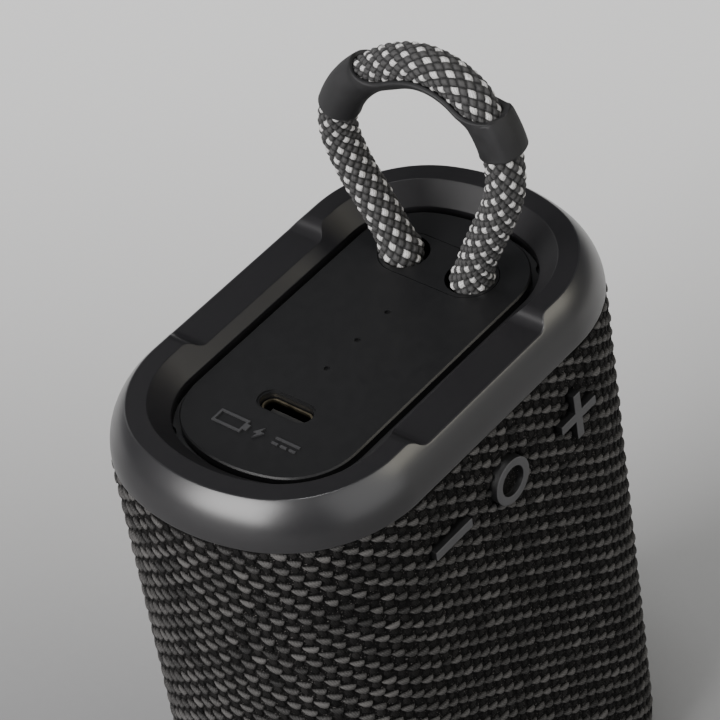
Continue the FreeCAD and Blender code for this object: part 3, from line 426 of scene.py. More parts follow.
FLOAT_YARN = Yarn("float_yarn", (0.009, 0.0087, 0.0085), (0.104, 0.1, 0.097), depth=0.09)
WARP_YARN = Yarn("warp_yarn", (0.0008, 0.0008, 0.0008), (0.018, 0.017, 0.0165), 4.0, 0.75, 0.14, 0.17)
BLACKENED = Moulded("blackened_steel", (0.01, 0.01, 0.011), (0.018, 0.018, 0.019), 0.5, 0.1, 0.4, 0.3, 0.004)
MARK_PLASTIC = Moulded("mark_plastic", (0.034, 0.034, 0.036), (0.042, 0.042, 0.044), 0.4, 0.04, grain_mm=0.1,
                       grain_depth=0.002)
# Key rubber: the side walls behind the front face fade to near black, painted shade.
KEY_RUBBER = Moulded("key_rubber", (0.054, 0.054, 0.056), (0.066, 0.066, 0.069), 0.5, 0.06, grain_mm=0.14,
                     grain_depth=0.006, painted_shade=(1, -27.86, -27.94))


class Palette:
    """Each finish's material, made once."""

    def __init__(self) -> None:
        """Start with no material made."""
        self.made: dict[str, bpy.types.Material] = {}

    def of(self, finish: Any) -> bpy.types.Material:
        """Find or make a material.

        Args:
            finish: a finish, or a slot that holds one.

        Returns:
            Its material.
        """
        finish = finish.value if isinstance(finish, Slot) else finish
        if finish.name not in self.made:
            self.made[finish.name] = finish.make()
        return self.made[finish.name]


# ---------------------------------------------------------------- surfaces


def grid_quads(rows: int, columns: int, wrap_rows: bool = False, wrap_columns: bool = False) -> np.ndarray:
    """Corner numbers of the quads between neighbours on a (rows, columns) grid of vertices.

    Args:
        rows: number of vertex rows.
        columns: number of vertices in a row.
        wrap_rows: whether the last row joins the first.
        wrap_columns: whether each row's last vertex joins its first.

    Returns:
        Array (n, 4), turning from a row's direction to the columns' direction.
    """
    row = np.arange(rows if wrap_rows else rows - 1)[:, None]
    column = np.arange(columns if wrap_columns else columns - 1)[None, :]
    after, beside = (row + 1) % rows, (column + 1) % columns
    corners = [row * columns + column, row * columns + beside,
               after * columns + beside, after * columns + column]
    return np.stack(np.broadcast_arrays(*corners), -1).reshape(-1, 4)


@dataclass
class Surface:
    """Vertices in millimetres with quads and larger faces, ready to become a piece."""

    points: np.ndarray
    quads: np.ndarray
    fans: list[list[int]] = field(default_factory=list)
    stored: dict[str, np.ndarray] = field(default_factory=dict)
    uv: Optional[np.ndarray] = None

    def piece(self, name: str, material: bpy.types.Material, smooth: bool = True, weld: bool = False,
              outward: bool = False) -> bpy.types.Object:
        """Make the Blender object.

        Args:
            name: the piece's name.
            material: its finish.
            smooth: whether its faces are smooth shaded.
            weld: whether coincident vertices are merged.
            outward: whether its faces are turned to point outwards.

        Returns:
            The object, at the origin.
        """
        mesh = bpy.data.meshes.new(name)
        quads = np.asarray(self.quads, np.int32).reshape(-1, 4)
        extra = np.array([corner for fan in self.fans for corner in fan], np.int32)
        sizes = np.array([4] * len(quads) + [len(fan) for fan in self.fans], np.int32)
        mesh.vertices.add(len(self.points))
        mesh.vertices.foreach_set("co", (np.asarray(self.points, float) * MM).ravel())
        loops = np.concatenate([quads.ravel(), extra]).astype(np.int32)
        mesh.loops.add(len(loops))
        mesh.loops.foreach_set("vertex_index", loops)
        mesh.polygons.add(len(sizes))
        starts = np.concatenate([[0], np.cumsum(sizes)[:-1]]).astype(np.int32)
        mesh.polygons.foreach_set("loop_start", starts)
        mesh.polygons.foreach_set("loop_total", sizes)
        if self.uv is not None:
            layer = mesh.uv_layers.new(name="yarn")
            layer.data.foreach_set("uv", self.uv[loops].astype(np.float32).ravel())
        for key, numbers in self.stored.items():
            mesh.attributes.new(key, "FLOAT", "POINT").data.foreach_set("value", numbers.astype(np.float32))
        mesh.update(calc_edges=True)
        mesh.validate()
        if weld or outward:
            work = bmesh.new()
            work.from_mesh(mesh)
            if weld:
                bmesh.ops.remove_doubles(work, verts=work.verts, dist=WELD_REACH)
            if outward:
                bmesh.ops.recalc_face_normals(work, faces=work.faces)
            work.to_mesh(mesh)
            work.free()
        mesh.polygons.foreach_set("use_smooth", np.full(len(mesh.polygons), smooth))
        mesh.materials.append(material)
        made = bpy.data.objects.new(name, mesh)
        bpy.context.scene.collection.objects.link(made)
        LOG.info("%s: %d vertices, %d faces", name, len(mesh.vertices), len(mesh.polygons))
        return made


def joined(surfaces: Sequence[Surface]) -> Surface:
    """Several closed shells as one surface, their corner numbers shifted.

    Args:
        surfaces: the shells.

    Returns:
        All of them.
    """
    starts = np.cumsum([0] + [len(part.points) for part in surfaces])
    return Surface(np.concatenate([part.points for part in surfaces]),
                   np.concatenate([part.quads + start for part, start in zip(surfaces, starts)]),
                   [[corner + int(start) for corner in fan] for part, start in zip(surfaces, starts)
                    for fan in part.fans])


def prism(outline: np.ndarray, front: float, back: float) -> Surface:
    """Straight bar along Y: the outline in (x, z) at `front`, repeated at `back`, with flat ends.

    Args:
        outline: corners (n, 2), turning left seen from the front.
        front: y of the front end.
        back: y of the back end.

    Returns:
        The closed bar.
    """
    count = len(outline)
    ends = [np.column_stack([outline[:, 0], np.full(count, y), outline[:, 1]]) for y in (front, back)]
    sides = grid_quads(2, count, wrap_columns=True)[:, ::-1]
    return Surface(np.concatenate(ends), sides,
                   [list(range(count)), list(range(2 * count - 1, count - 1, -1))])


def turned(profile: np.ndarray, x: float, z: float, count: int = 72) -> Surface:
    """Profile of (radius, y) pairs carried round the Y line through (x, z); its ends lie on that line.

    Args:
        profile: (n, 2) pairs, from the front pole to the back pole.
        x: place of the line.
        z: place of the line.
        count: steps round it.

    Returns:
        The closed surface, its poles still to be welded.
    """
    angle = np.linspace(0, 2 * np.pi, count, endpoint=False)[:, None]
    radius, along = profile[None, :, 0], profile[None, :, 1]
    points = np.stack(np.broadcast_arrays(x + radius * np.cos(angle), along, z + radius * np.sin(angle)), -1)
    return Surface(points.reshape(-1, 3), grid_quads(count, len(profile), wrap_rows=True))


@dataclass(frozen=True)
class Outline:
    """Plan outline of the casing: straight long sides, corner arcs and flatter end arcs, all tangent."""

    half_width: float = 15.75
    half_straight: float = 20.0
    corner_radius: float = 11.25
    end_radius: float = 25.2
    measured_out: float = 11.2

    def _runs(self) -> tuple[np.ndarray, np.ndarray]:
        """Lay out the nine straight and curved runs, from the middle of the front.

        Returns:
            Rows of (x, y, radius, angle, turn, slide), and their lengths.
        """
        side = self.half_width - self.corner_radius
        middle = self.half_straight - math.sqrt((self.end_radius - self.corner_radius) ** 2 - side ** 2)
        turn, quarter = math.atan2(side, self.half_straight - middle), math.pi / 2
        ends = self.half_straight
        runs = np.array([
            (0, 0, self.half_width, -quarter, 0, ends),
            (ends, -side, self.corner_radius, -quarter, quarter - turn, 0),
            (middle, 0, self.end_radius, -turn, 2 * turn, 0),
            (ends, side, self.corner_radius, turn, quarter - turn, 0),
            (ends, 0, self.half_width, quarter, 0, -2 * ends),
            (-ends, side, self.corner_radius, quarter, quarter - turn, 0),
            (-middle, 0, self.end_radius, 2 * quarter - turn, 2 * turn, 0),
            (-ends, -side, self.corner_radius, 2 * quarter + turn, quarter - turn, 0),
            (-ends, 0, self.half_width, 3 * quarter, 0, ends)])
        lengths = np.abs(runs[:, 5]) + (runs[:, 2] + self.measured_out) * runs[:, 4]
        return runs, lengths

    @property
    def length(self) -> float:
        """Way round at the measured offset."""
        return float(self._runs()[1].sum())

    def at(self, way: np.ndarray, out: np.ndarray) -> tuple[np.ndarray, ...]:
        """Places `way` round from the middle of the front and `out` outside the plate's edge.

        A place is its run's centre plus (radius + out) along the direction that the run has turned to.

        Args:
            way: lengths round at the measured offset.
            out: offsets, of the same shape.

        Returns:
            x, y and the outward direction's x and y.
        """
        runs, lengths = self._runs()
        starts = np.concatenate([[0], np.cumsum(lengths)])
        way = np.mod(way, starts[-1])
        run = np.clip(np.searchsorted(starts, way, "right") - 1, 0, len(runs) - 1)
        share = (way - starts[run]) / lengths[run]
        angle = runs[run, 3] + runs[run, 4] * share
        reach = runs[run, 2] + out
        return (runs[run, 0] + runs[run, 5] * share + reach * np.cos(angle),
                runs[run, 1] + reach * np.sin(angle), np.cos(angle), np.sin(angle))

    def stations(self, coarse: float, marks: Sequence[tuple[float, float]] = ()) -> np.ndarray:
        """Ways round: every run's ends, steps of about `coarse`, and finer steps where marked.

        Args:
            coarse: usual step.
            marks: (place on a long side's x, half length) of stretches with fine steps.

        Returns:
            Sorted ways.
        """
        lengths = self._runs()[1]
        starts = np.concatenate([[0], np.cumsum(lengths)])
        ways = [np.linspace(a, b, max(2, int((b - a) / coarse)), endpoint=False)
                for a, b in zip(starts[:-1], starts[1:])]
        half = self.length / 2
        for x, reach in marks:
            fine = np.linspace(x - reach, x + reach, int(2 * reach / 0.14))
            ways += [np.mod(fine, 2 * half), half + fine]
        found = np.unique(np.round(np.concatenate(ways), 3))
        return found[np.concatenate([[True], np.diff(found) > 0.04])]


OUTLINE = Outline()


# ---------------------------------------------------------------- studio


@dataclass
class Studio:
    """Camera, soft lights and pale floor."""

    lens: float = 178.4
    azimuth: float = -44.95
    elevation: float = 41.04
    roll: float = -9.82
    eye: tuple[float, float, float] = (-0.2931, -0.2934, 0.4657)
    floor_half: float = 1.6

    def camera(self) -> None:
        """Put the camera at its place, turned by azimuth, elevation and roll."""
        around, up_angle, lean = (math.radians(a) for a in (self.azimuth, self.elevation, self.roll))
        back = Vector((math.sin(around) * math.cos(up_angle), -math.cos(around) * math.cos(up_angle),
                       math.sin(up_angle)))
        level = Vector((math.cos(around), math.sin(around), 0))
        right = level * math.cos(lean) + back.cross(level) * math.sin(lean)
        up = back.cross(right)
        data = bpy.data.cameras.new("camera")
        data.lens, data.sensor_width = self.lens, 36.0
        data.clip_start, data.clip_end = 0.02, 20.0
        made = bpy.data.objects.new("camera", data)
        made.matrix_world = Matrix.Translation(self.eye) @ Matrix((right, up, back)).transposed().to_4x4()
        bpy.context.scene.collection.objects.link(made)
        bpy.context.scene.camera = made

    def light(self, name: str, around: float, height: float, reach: float, size: float, power: float,
              tint: Colour = (1, 1, 1)) -> None:
        """Add a square soft light that faces the top of the object.

        Args:
            name: its name.
            around: its azimuth in degrees, 0 in front and 90 on the right.
            height: its elevation in degrees.
            reach: its distance, in metres.
            size: its side, in metres.
            power: its strength in watts.
            tint: its colour.
        """
        data = bpy.data.lights.new(name, "AREA")
        data.size, data.energy, data.color = size, power, tint
        turn, lift = math.radians(around), math.radians(height)
        away = Vector((math.sin(turn) * math.cos(lift), -math.cos(turn) * math.cos(lift), math.sin(lift)))
        made = bpy.data.objects.new(name, data)
        made.location = Vector((0, 0, 0.1)) + away * reach
        made.rotation_euler = away.to_track_quat("Z", "Y").to_euler()
        bpy.context.scene.collection.objects.link(made)

    def floor(self) -> None:
        """Floor at the foot's level with painted light: grey in front on the left and pale behind on the
        right.
        """
        reach = self.floor_half / MM
        corners = np.array([(-reach, -reach, 0), (reach, -reach, 0), (reach, reach, 0), (-reach, reach, 0)])
        desk = Desk("floor")
        spot = desk.place()
        x, y = (desk.node("SeparateXYZ", {}, {0: spot}, axis) for axis in (0, 1))
        # Painted light: the floor's tone brightens from the near left to the far right.
        painted_light = ((x * 1.3 + y * 0.7) / math.sqrt(2)).ramp(-0.05, 0.3)
        grain = desk.noise(spot, 2.0) * 0.02
        tone = desk.mix(painted_light + grain, (0.22, 0.22, 0.222), (0.93, 0.93, 0.93))
        plain = desk.finish(Base_Color=tone, Roughness=0.9 - grain, Normal=desk.bump(grain, 0.02),
                            Specular_IOR_Level=0.2)
        Surface(corners, np.array([[0, 1, 2, 3]])).piece("floor", plain, smooth=False)

    def build(self) -> None:
        """Make everything round the object."""
        self.camera()
        world = bpy.data.worlds.new("air")
        world.use_nodes = True
        world.node_tree.nodes["Background"].inputs["Color"].default_value = (0.9, 0.93, 1.0, 1)
        world.node_tree.nodes["Background"].inputs["Strength"].default_value = 0.12
        bpy.context.scene.world = world
        self.light("window", -99, 29, 1.0, 0.7, 17.0, (1.0, 0.985, 0.98))
        self.light("front", 0, 26, 1.3, 1.4, 8.2)
        self.light("side", 38, 32, 1.1, 0.5, 2.6, (1.0, 0.95, 0.8))
        self.light("back", 165, 22, 1.3, 0.8, 2.0)
        self.light("top", -45, 84, 1.0, 0.2, 3.0)
        self.floor()


# ---------------------------------------------------------------- carrying loop


@dataclass
class Loop:
    """Braided rope through two holes in the insert, with a moulded keeper round its crown."""

    x: float = 20.44
    plate: float = 108.8
    radius: float = 3.0
    strands: int = 12
    cell: float = 1.8
    samples: int = 11
    proud: float = 3.16
    swell: float = 0.62
    swell_reach: float = 1.7
    squeeze: float = 0.45
    relief: float = 0.72
    keeper: tuple[float, float] = (36.6, 80.4)
    window: tuple[float, float] = (47.9, 74.5)
    wall: float = 1.05
    mouth: float = 0.6
    window_ramps: tuple[float, float] = (7.0, 4.0)
    facets: int = 10
    route: tuple[tuple[float, float], ...] = (
        (6.6, -8.4), (6.6, -3.6), (7.9, 1.8), (10.8, 8.0), (15.0, 14.8), (17.2, 22.6), (13.6, 30.4),
        (6.4, 37.0), (-3.2, 41.2), (-11.6, 38.8), (-16.6, 30.4), (-16.2, 20.8), (-11.8, 11.8), (-8.2, 4.6),
        (-6.2, -1.6), (-6.2, -8.4))

    def centreline(self) -> np.ndarray:
        """Draw the route as a NURBS line.

        Returns:
            Its points, in millimetres.
        """
        curve = bpy.data.curves.new("loop_route", "CURVE")
        curve.dimensions, curve.resolution_u = "3D", 24
        spline = curve.splines.new("NURBS")
        spline.points.add(len(self.route) - 1)
        spots = [(self.x * MM, y * MM, (self.plate + up) * MM, 1.0) for y, up in self.route]
        spline.points.foreach_set("co", [number for spot in spots for number in spot])
        spline.order_u, spline.use_endpoint_u = 3, True
        holder = bpy.data.objects.new("loop_route", curve)
        bpy.context.scene.collection.objects.link(holder)
        bpy.context.view_layer.update()
        mesh = bpy.data.meshes.new_from_object(holder)
        line = np.zeros(len(mesh.vertices) * 3)
        mesh.vertices.foreach_get("co", line)
        bpy.data.objects.remove(holder)
        bpy.data.meshes.remove(mesh)
        return line.reshape(-1, 3) / MM

    def frame_at(self, line: np.ndarray, way: np.ndarray) -> tuple[np.ndarray, np.ndarray, np.ndarray]:
        """Place, outward and sideways directions at lengths along the line.

        Outward is the line's direction crossed with X, so it points away from the loop's inside.

        Args:
            line: the centre line's points.
            way: lengths along it.

        Returns:
            Three arrays of (x, y, z).
        """
        steps = np.linalg.norm(np.diff(line, axis=0), axis=1)
        run = np.concatenate([[0], np.cumsum(steps)])

        def spots(lengths: np.ndarray) -> np.ndarray:
            """Places at those lengths."""
            return np.stack([np.interp(lengths, run, line[:, axis]) for axis in range(3)], -1)

        near = 0.35
        ahead = spots(np.clip(way + near, 0, run[-1])) - spots(np.clip(way - near, 0, run[-1]))
        ahead /= np.linalg.norm(ahead, axis=1)[:, None]
        side = np.tile([1.0, 0.0, 0.0], (len(way), 1))
        return spots(way), np.cross(ahead, side), side

    def gripped(self, way: np.ndarray) -> np.ndarray:
        """1 inside the keeper's collars, 0 clear of them and in its window, with smooth ramps between.

        Args:
            way: lengths along the line.

        Returns:
            How far the rope is gripped there.
        """
        mouth = self.mouth
        within = np.minimum(way - self.keeper[0] + mouth, self.keeper[1] + mouth - way)
        inside = np.clip(within / (2 * mouth), 0, 1)
        first, second = self.window_ramps
        clear = np.clip(np.minimum((way - self.window[0]) / first, (self.window[1] - way) / second), 0, 1)
        return inside * (1 - clear * clear * (3 - 2 * clear))

    def rope(self, line: np.ndarray, length: float) -> Surface:
        """Plain braid of two opposed sets of strands.

        With a the share round times the strands and b the length over the cell, strands lie where a + b and
        a - b are whole. A strand's height is a rounded section plus a wave that lifts it over every second
        crossing, and the surface is the higher of the two sets. The rope swells by a bell curve of its height
        over the plate and is squeezed in the keeper's collars.

        Args:
            line: the centre line's points.
            length: its length.

        Returns:
            The rope, with its fleck, lift and twist at every vertex.
        """
        around = self.strands * self.facets
        along = int(length / self.cell * self.samples)
        b, a = np.meshgrid(np.linspace(0, length / self.cell, along),
                           np.arange(around) * self.strands / around, indexing="ij")
        right, left = a + b, a - b
        i, j = np.round(right), np.round(left)
        off_right, off_left = right - i, left - j

        def strand(off: np.ndarray, over: np.ndarray, parity: np.ndarray) -> np.ndarray:
            """Height of one set: a semicircle across each strand, plus its wave."""
            slim, arch, wave = 1.9, 0.55, 0.45
            round_top = np.sqrt(np.clip(1 - (slim * off) ** 2, 0, 1))
            return round_top * arch + wave * np.cos(np.pi * (over + parity))

        up_right = strand(off_right, left, i)
        up_left = strand(off_left, right, j + 1)
        height = np.clip(np.maximum(up_right, up_left), -0.1, 1.0)
        on_right = up_right > up_left
        # Painted shade mask: 1 on the strands, 0 in the gaps between them, where the braid's colour falls to
        # near black.
        out_of_gap_shade = np.clip((0.5 - np.maximum(np.abs(off_right), np.abs(off_left))) * 4.5, 0, 1)
        fleck = (np.mod(i, 2) == 0) & (np.mod(j, 2) == 0)
        twist = np.where(on_right, off_right * 3.2 + left * 0.8, off_left * 3.2 + right * 0.8)
        taper = np.clip(np.minimum(b, length / self.cell - b) * 4, 0, 1)
        way = b[:, 0] * self.cell
        place, out, side = self.frame_at(line, way)
        foot = self.swell * np.exp(-((place[:, 2] - self.plate) / self.swell_reach) ** 2)
        shape = (self.proud + foot - self.squeeze * self.gripped(way))[:, None]
        spread = (shape - self.relief * (1 - height)) * taper
        angle = 2 * np.pi * a / self.strands
        points = (place[:, None, :] + out[:, None, :] * (spread * np.cos(angle))[..., None]
                  + side[:, None, :] * (spread * np.sin(angle))[..., None])
        return Surface(points.reshape(-1, 3), grid_quads(along, around, wrap_columns=True),
                       stored={"fleck": fleck.ravel().astype(float), "lift": out_of_gap_shade.ravel(),
                               "twist": twist.ravel()})

    def sleeve(self, line: np.ndarray) -> Surface:
        """Keeper: a rounded-rectangle section bent round the rope.

        Its half width in angle is the whole way round on the collars and a strip on the inside between them;
        each collar's mouth closes along a quarter of an ellipse. The section's thickness falls to nothing at
        both ends along a quarter circle, is less on the first collar's outside, and grows towards a rounded
        square of sixth power with a flat ledge on the second collar.

        Args:
            line: the centre line's points.

        Returns:
            The keeper, its two ends still to be welded.
        """
        start, stop = self.keeper
        close = np.linspace(0, 1, 12) ** 2 * 0.7
        way = np.unique(np.concatenate([np.linspace(start, stop, 260), start + close, stop - close]))
        inside = np.clip(np.minimum(way - self.window[0], self.window[1] - way) / 4.6, 0, 1)
        strip = np.radians(66)
        half = np.pi - (np.pi - strip) * np.sqrt(1 - (1 - inside) ** 2)
        edge = np.clip(np.minimum(way - start, stop - way) / self.mouth, 0, 1)
        bore = self.radius + 0.1 - (self.squeeze - 0.05) * self.gripped(way)[:, None]
        thick = self.wall * np.sqrt(1 - (1 - edge) ** 2)
        middle = bore[:, 0] + thick / 2
        reach, rise = half * middle, thick / 2
        corner = np.minimum(rise * 0.8, np.clip((np.pi - half) * 3, 0.02, 0.5))
        flat = np.linspace(-1, 1, 41)
        bend = np.radians(np.linspace(90, 0, 6))
        one = np.ones(6)
        along = np.concatenate([flat[:-1], one, one, flat[::-1][1:-1], -one, -one])
        level = np.concatenate([np.ones(40), one, -one, -np.ones(39), -one, one])
        lean_x = np.concatenate([np.zeros(40), np.cos(bend), np.cos(bend[::-1]), np.zeros(39), -np.cos(bend),
                                 -np.cos(bend[::-1])])
        lean_y = np.concatenate([np.ones(40), np.sin(bend), -np.sin(bend[::-1]), -np.ones(39), -np.sin(bend),
                                 np.sin(bend[::-1])])
        across = along * (reach - corner)[:, None] + corner[:, None] * lean_x
        depth = level * (rise - corner)[:, None] + corner[:, None] * lean_y
        angle = across / middle[:, None]
        boxy = np.clip((way - self.window[1] + 3.0) / 3.0, 0, 1)[:, None]
        lean = np.abs(angle)
        outside = np.clip((lean - 1.2) / 1.0, 0, 1)
        thin = 1 - (0.15 + 0.2 * outside) * (1 - boxy) - 0.2 * boxy * (1 - outside)
        box = ((np.cos(angle) ** 6 + np.sin(angle) ** 6) ** (-1 / 6) - 1) * outside
        ledge = 0.3 * np.clip((lean - 2.2) / 0.12, 0, 1)
        fade = edge[:, None] ** 0.3
        shell = (depth + rise[:, None]) * (thin + fade * boxy * (box * 1.1 - 0.1 + ledge))
        spread = bore + shell
        place, out, side = self.frame_at(line, way)
        points = (place[:, None, :] - out[:, None, :] * (spread * np.cos(angle))[..., None]
                  + side[:, None, :] * (spread * np.sin(angle))[..., None])
        return Surface(points.reshape(-1, 3), grid_quads(len(way), points.shape[1], wrap_columns=True))

    def build(self, palette: Palette) -> None:
        """Args:
            palette: the finishes' materials.
        """
        line = self.centreline()
        length = float(np.linalg.norm(np.diff(line, axis=0), axis=1).sum())
        rope = self.rope(line, length).piece("loop_rope", palette.of(Slot.ROPE), weld=True, outward=True)
        keeper = self.sleeve(line).piece("loop_keeper", palette.of(Slot.RUBBER), weld=True, outward=True)
        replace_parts(rope, "strap_rope")
        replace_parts(keeper, "strap_keeper")
        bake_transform(rope)
        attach(keeper, "strap")
        LOG.info("loop line %.1f mm", length)


# ---------------------------------------------------------------- rims


@dataclass
class TopRim:
    """Ring at the top: rounded outside, flat top lowered at two finger recesses, sloped inner wall."""

    top: float = 112.0
    recess: float = 110.4
    recess_half: float = 13.7
    ramp: float = 3.8
    seam: float = 104.27
    arc_out: float = 0.85
    arc_radius: float = 10.4
    wall_out: float = 1.25
    wall_foot: float = 108.8
    under: float = 106.83
    spigot_out: float = 6.98
    spigot_in: float = 5.02
    spigot_foot: float = 102.55
    outer_edge: float = 0.3
    inner_edge: float = 0.22
    arc_points: int = 26
    edge_points: int = 5

    def ceiling(self, x: np.ndarray) -> np.ndarray:
        """Level of the flat top at x: low, then two equal arcs that make an S, then high.

        Args:
            x: places along the casing.

        Returns:
            The levels.
        """
        rise = self.top - self.recess
        radius = (self.ramp ** 2 + rise ** 2) / (4 * rise)
        run = np.clip(np.abs(x) - self.recess_half, 0, self.ramp)
        low = self.recess + radius - np.sqrt(radius ** 2 - np.minimum(run, self.ramp / 2) ** 2)
        high = self.top - radius + np.sqrt(radius ** 2 - np.minimum(self.ramp - run, self.ramp / 2) ** 2)
        return np.where(run < self.ramp / 2, low, high)

    def section(self, top: np.ndarray) -> tuple[np.ndarray, np.ndarray]:
        """Offsets and levels of the section's points for each ceiling, from the seam up, in and down.

        The outer arc, the flat top and the 45 degree inner wall are joined by fillets tangent to both.

        Args:
            top: the ceilings.

        Returns:
            Two arrays with a row for each ceiling.
        """
        big, small = self.outer_edge, self.inner_edge
        sum_level = self.wall_foot - self.wall_out
        centre_z = top - big
        centre_o = self.arc_out + np.sqrt((self.arc_radius - big) ** 2 - (centre_z - self.seam) ** 2)
        touch = np.arctan2(centre_z - self.seam, centre_o - self.arc_out)
        outer = np.linspace(0.02, 1, self.arc_points)[None, :] * touch[:, None]
        edge = touch[:, None] + np.linspace(0.2, 1, self.edge_points)[None, :] * (np.pi / 2 - touch)[:, None]
        inner_z = top - small
        inner_o = inner_z - sum_level + small * math.sqrt(2)
        flat = np.linspace(0.03, 0.97, 6)[None, :]
        turn = np.radians(np.linspace(90, 135, 5))[None, :]
        foot_o = self.wall_out + small
        foot_z = foot_o + sum_level - small * math.sqrt(2)
        foot = np.radians(np.linspace(135, 180, 4))[None, :]
        slope = np.linspace(0.04, 0.96, 5)[None, :]
        back, rise = small * math.cos(math.radians(135)), small * math.sin(math.radians(135))
        bank_o, bank_z = inner_o[:, None] + back, inner_z[:, None] + rise
        low_o, low_z = foot_o + back, foot_z + rise
        hidden_o = [self.wall_out, self.spigot_in, self.spigot_in, self.spigot_out, self.spigot_out,
                    self.arc_out + self.arc_radius - 0.12]
        hidden_z = [self.under, self.under, self.spigot_foot, self.spigot_foot, self.seam, self.seam]
        rest = np.ones((len(top), 1))
        out = [self.arc_out + self.arc_radius * np.cos(outer), centre_o[:, None] + big * np.cos(edge),
               centre_o[:, None] + (inner_o - centre_o)[:, None] * flat,
               inner_o[:, None] + small * np.cos(turn), bank_o + (low_o - bank_o) * slope,
               rest * (foot_o + small * np.cos(foot)), rest * np.array(hidden_o)]
        level = [self.seam + self.arc_radius * np.sin(outer), centre_z[:, None] + big * np.sin(edge),
                 top[:, None] + 0 * flat, inner_z[:, None] + small * np.sin(turn),
                 bank_z + (low_z - bank_z) * slope, rest * (foot_z + small * np.sin(foot)),
                 rest * np.array(hidden_z)]
        return np.concatenate(out, 1), np.concatenate(level, 1)

    def build(self, palette: Palette) -> None:
        """Carry the section round the outline, marked matt inside its outer rounding.

        Args:
            palette: the finishes' materials.
        """
        middle = self.recess_half + self.ramp / 2
        way = OUTLINE.stations(0.8, [(middle, 2.6), (-middle, 2.6)])
        flat_x = OUTLINE.at(way, np.zeros(len(way)))[0]
        out, level = self.section(self.ceiling(flat_x))
        x, y, _, _ = OUTLINE.at(np.broadcast_to(way[:, None], out.shape), out)
        count = out.shape[1]
        matt = np.broadcast_to(np.arange(count) >= self.arc_points + self.edge_points, out.shape)
        ring = Surface(np.stack([x, y, level], -1).reshape(-1, 3), grid_quads(len(way), count, True, True),
                       stored={"matt": matt.ravel().astype(float)})
        rim = ring.piece("rim_ring", palette.of(Slot.RIM), outward=True)
        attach(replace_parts(rim, "top_rim"), "root")


# ---------------------------------------------------------------- keys and cloth


@dataclass(frozen=True)
class KeyPlan:
    """Places and shapes of the three keys, seen from the front."""

    level: float = 92.6
    plus_x: float = 17.0
    power_x: float = -0.1
    minus_x: float = -14.8
    arm: float = 8.8
    bar: float = 1.6
    ring: float = 4.05
    disc: float = 2.6
    gap: float = 0.25

    def clearance(self, x: np.ndarray, z: np.ndarray) -> np.ndarray:
        """Distance from the nearest key opening, negative inside it.

        A rectangle's is the length of what reaches past its half sides, or the larger of the two shortfalls
        for a place inside it.

        Args:
            x: places along the casing.
            z: their levels.

        Returns:
            The distances.
        """
        def box(centre: float, half_x: float, half_z: float) -> np.ndarray:
            """Distance from one rectangle."""
            over_x, over_z = np.abs(x - centre) - half_x, np.abs(z - self.level) - half_z
            outside = np.hypot(np.maximum(over_x, 0), np.maximum(over_z, 0))
            return outside + np.minimum(np.maximum(over_x, over_z), 0)

        long, thin = self.arm / 2 + self.gap, self.bar / 2 + self.gap
        plus = np.minimum(box(self.plus_x, long, thin), box(self.plus_x, thin, long))
        ring = np.hypot(x - self.power_x, z - self.level) - self.ring - self.gap
        return np.minimum(np.minimum(plus, ring), box(self.minus_x, long, thin))


@dataclass(frozen=True)
class Weave:
    """One set of the cloth's floats.

    `shift` moves it up by a share of the row pitch. `size` is a float's half length, half width and height.
    `hang` is 0 for a spindle and 1 for a straight upper edge, `tilt` slopes its length against the level line
    and `lean` slants its sides. `ring` vertices go round it and `rows` rings lie along it.
    """

    name: str
    shift: float
    size: tuple[float, float, float]
    hang: float
    tilt: float
    lean: float
    ring: int
    rows: int
    yarn: Yarn


WEAVES = (Weave("weft", -0.18, (1.2, 0.6, 0.5), hang=0.8, tilt=-0.12, lean=-0.4, ring=8, rows=5,
                yarn=FLOAT_YARN),
          Weave("warp", 0.32, (0.7, 0.95, 0.24), hang=0.0, tilt=0.0, lean=-0.2, ring=6, rows=3,
                yarn=WARP_YARN))


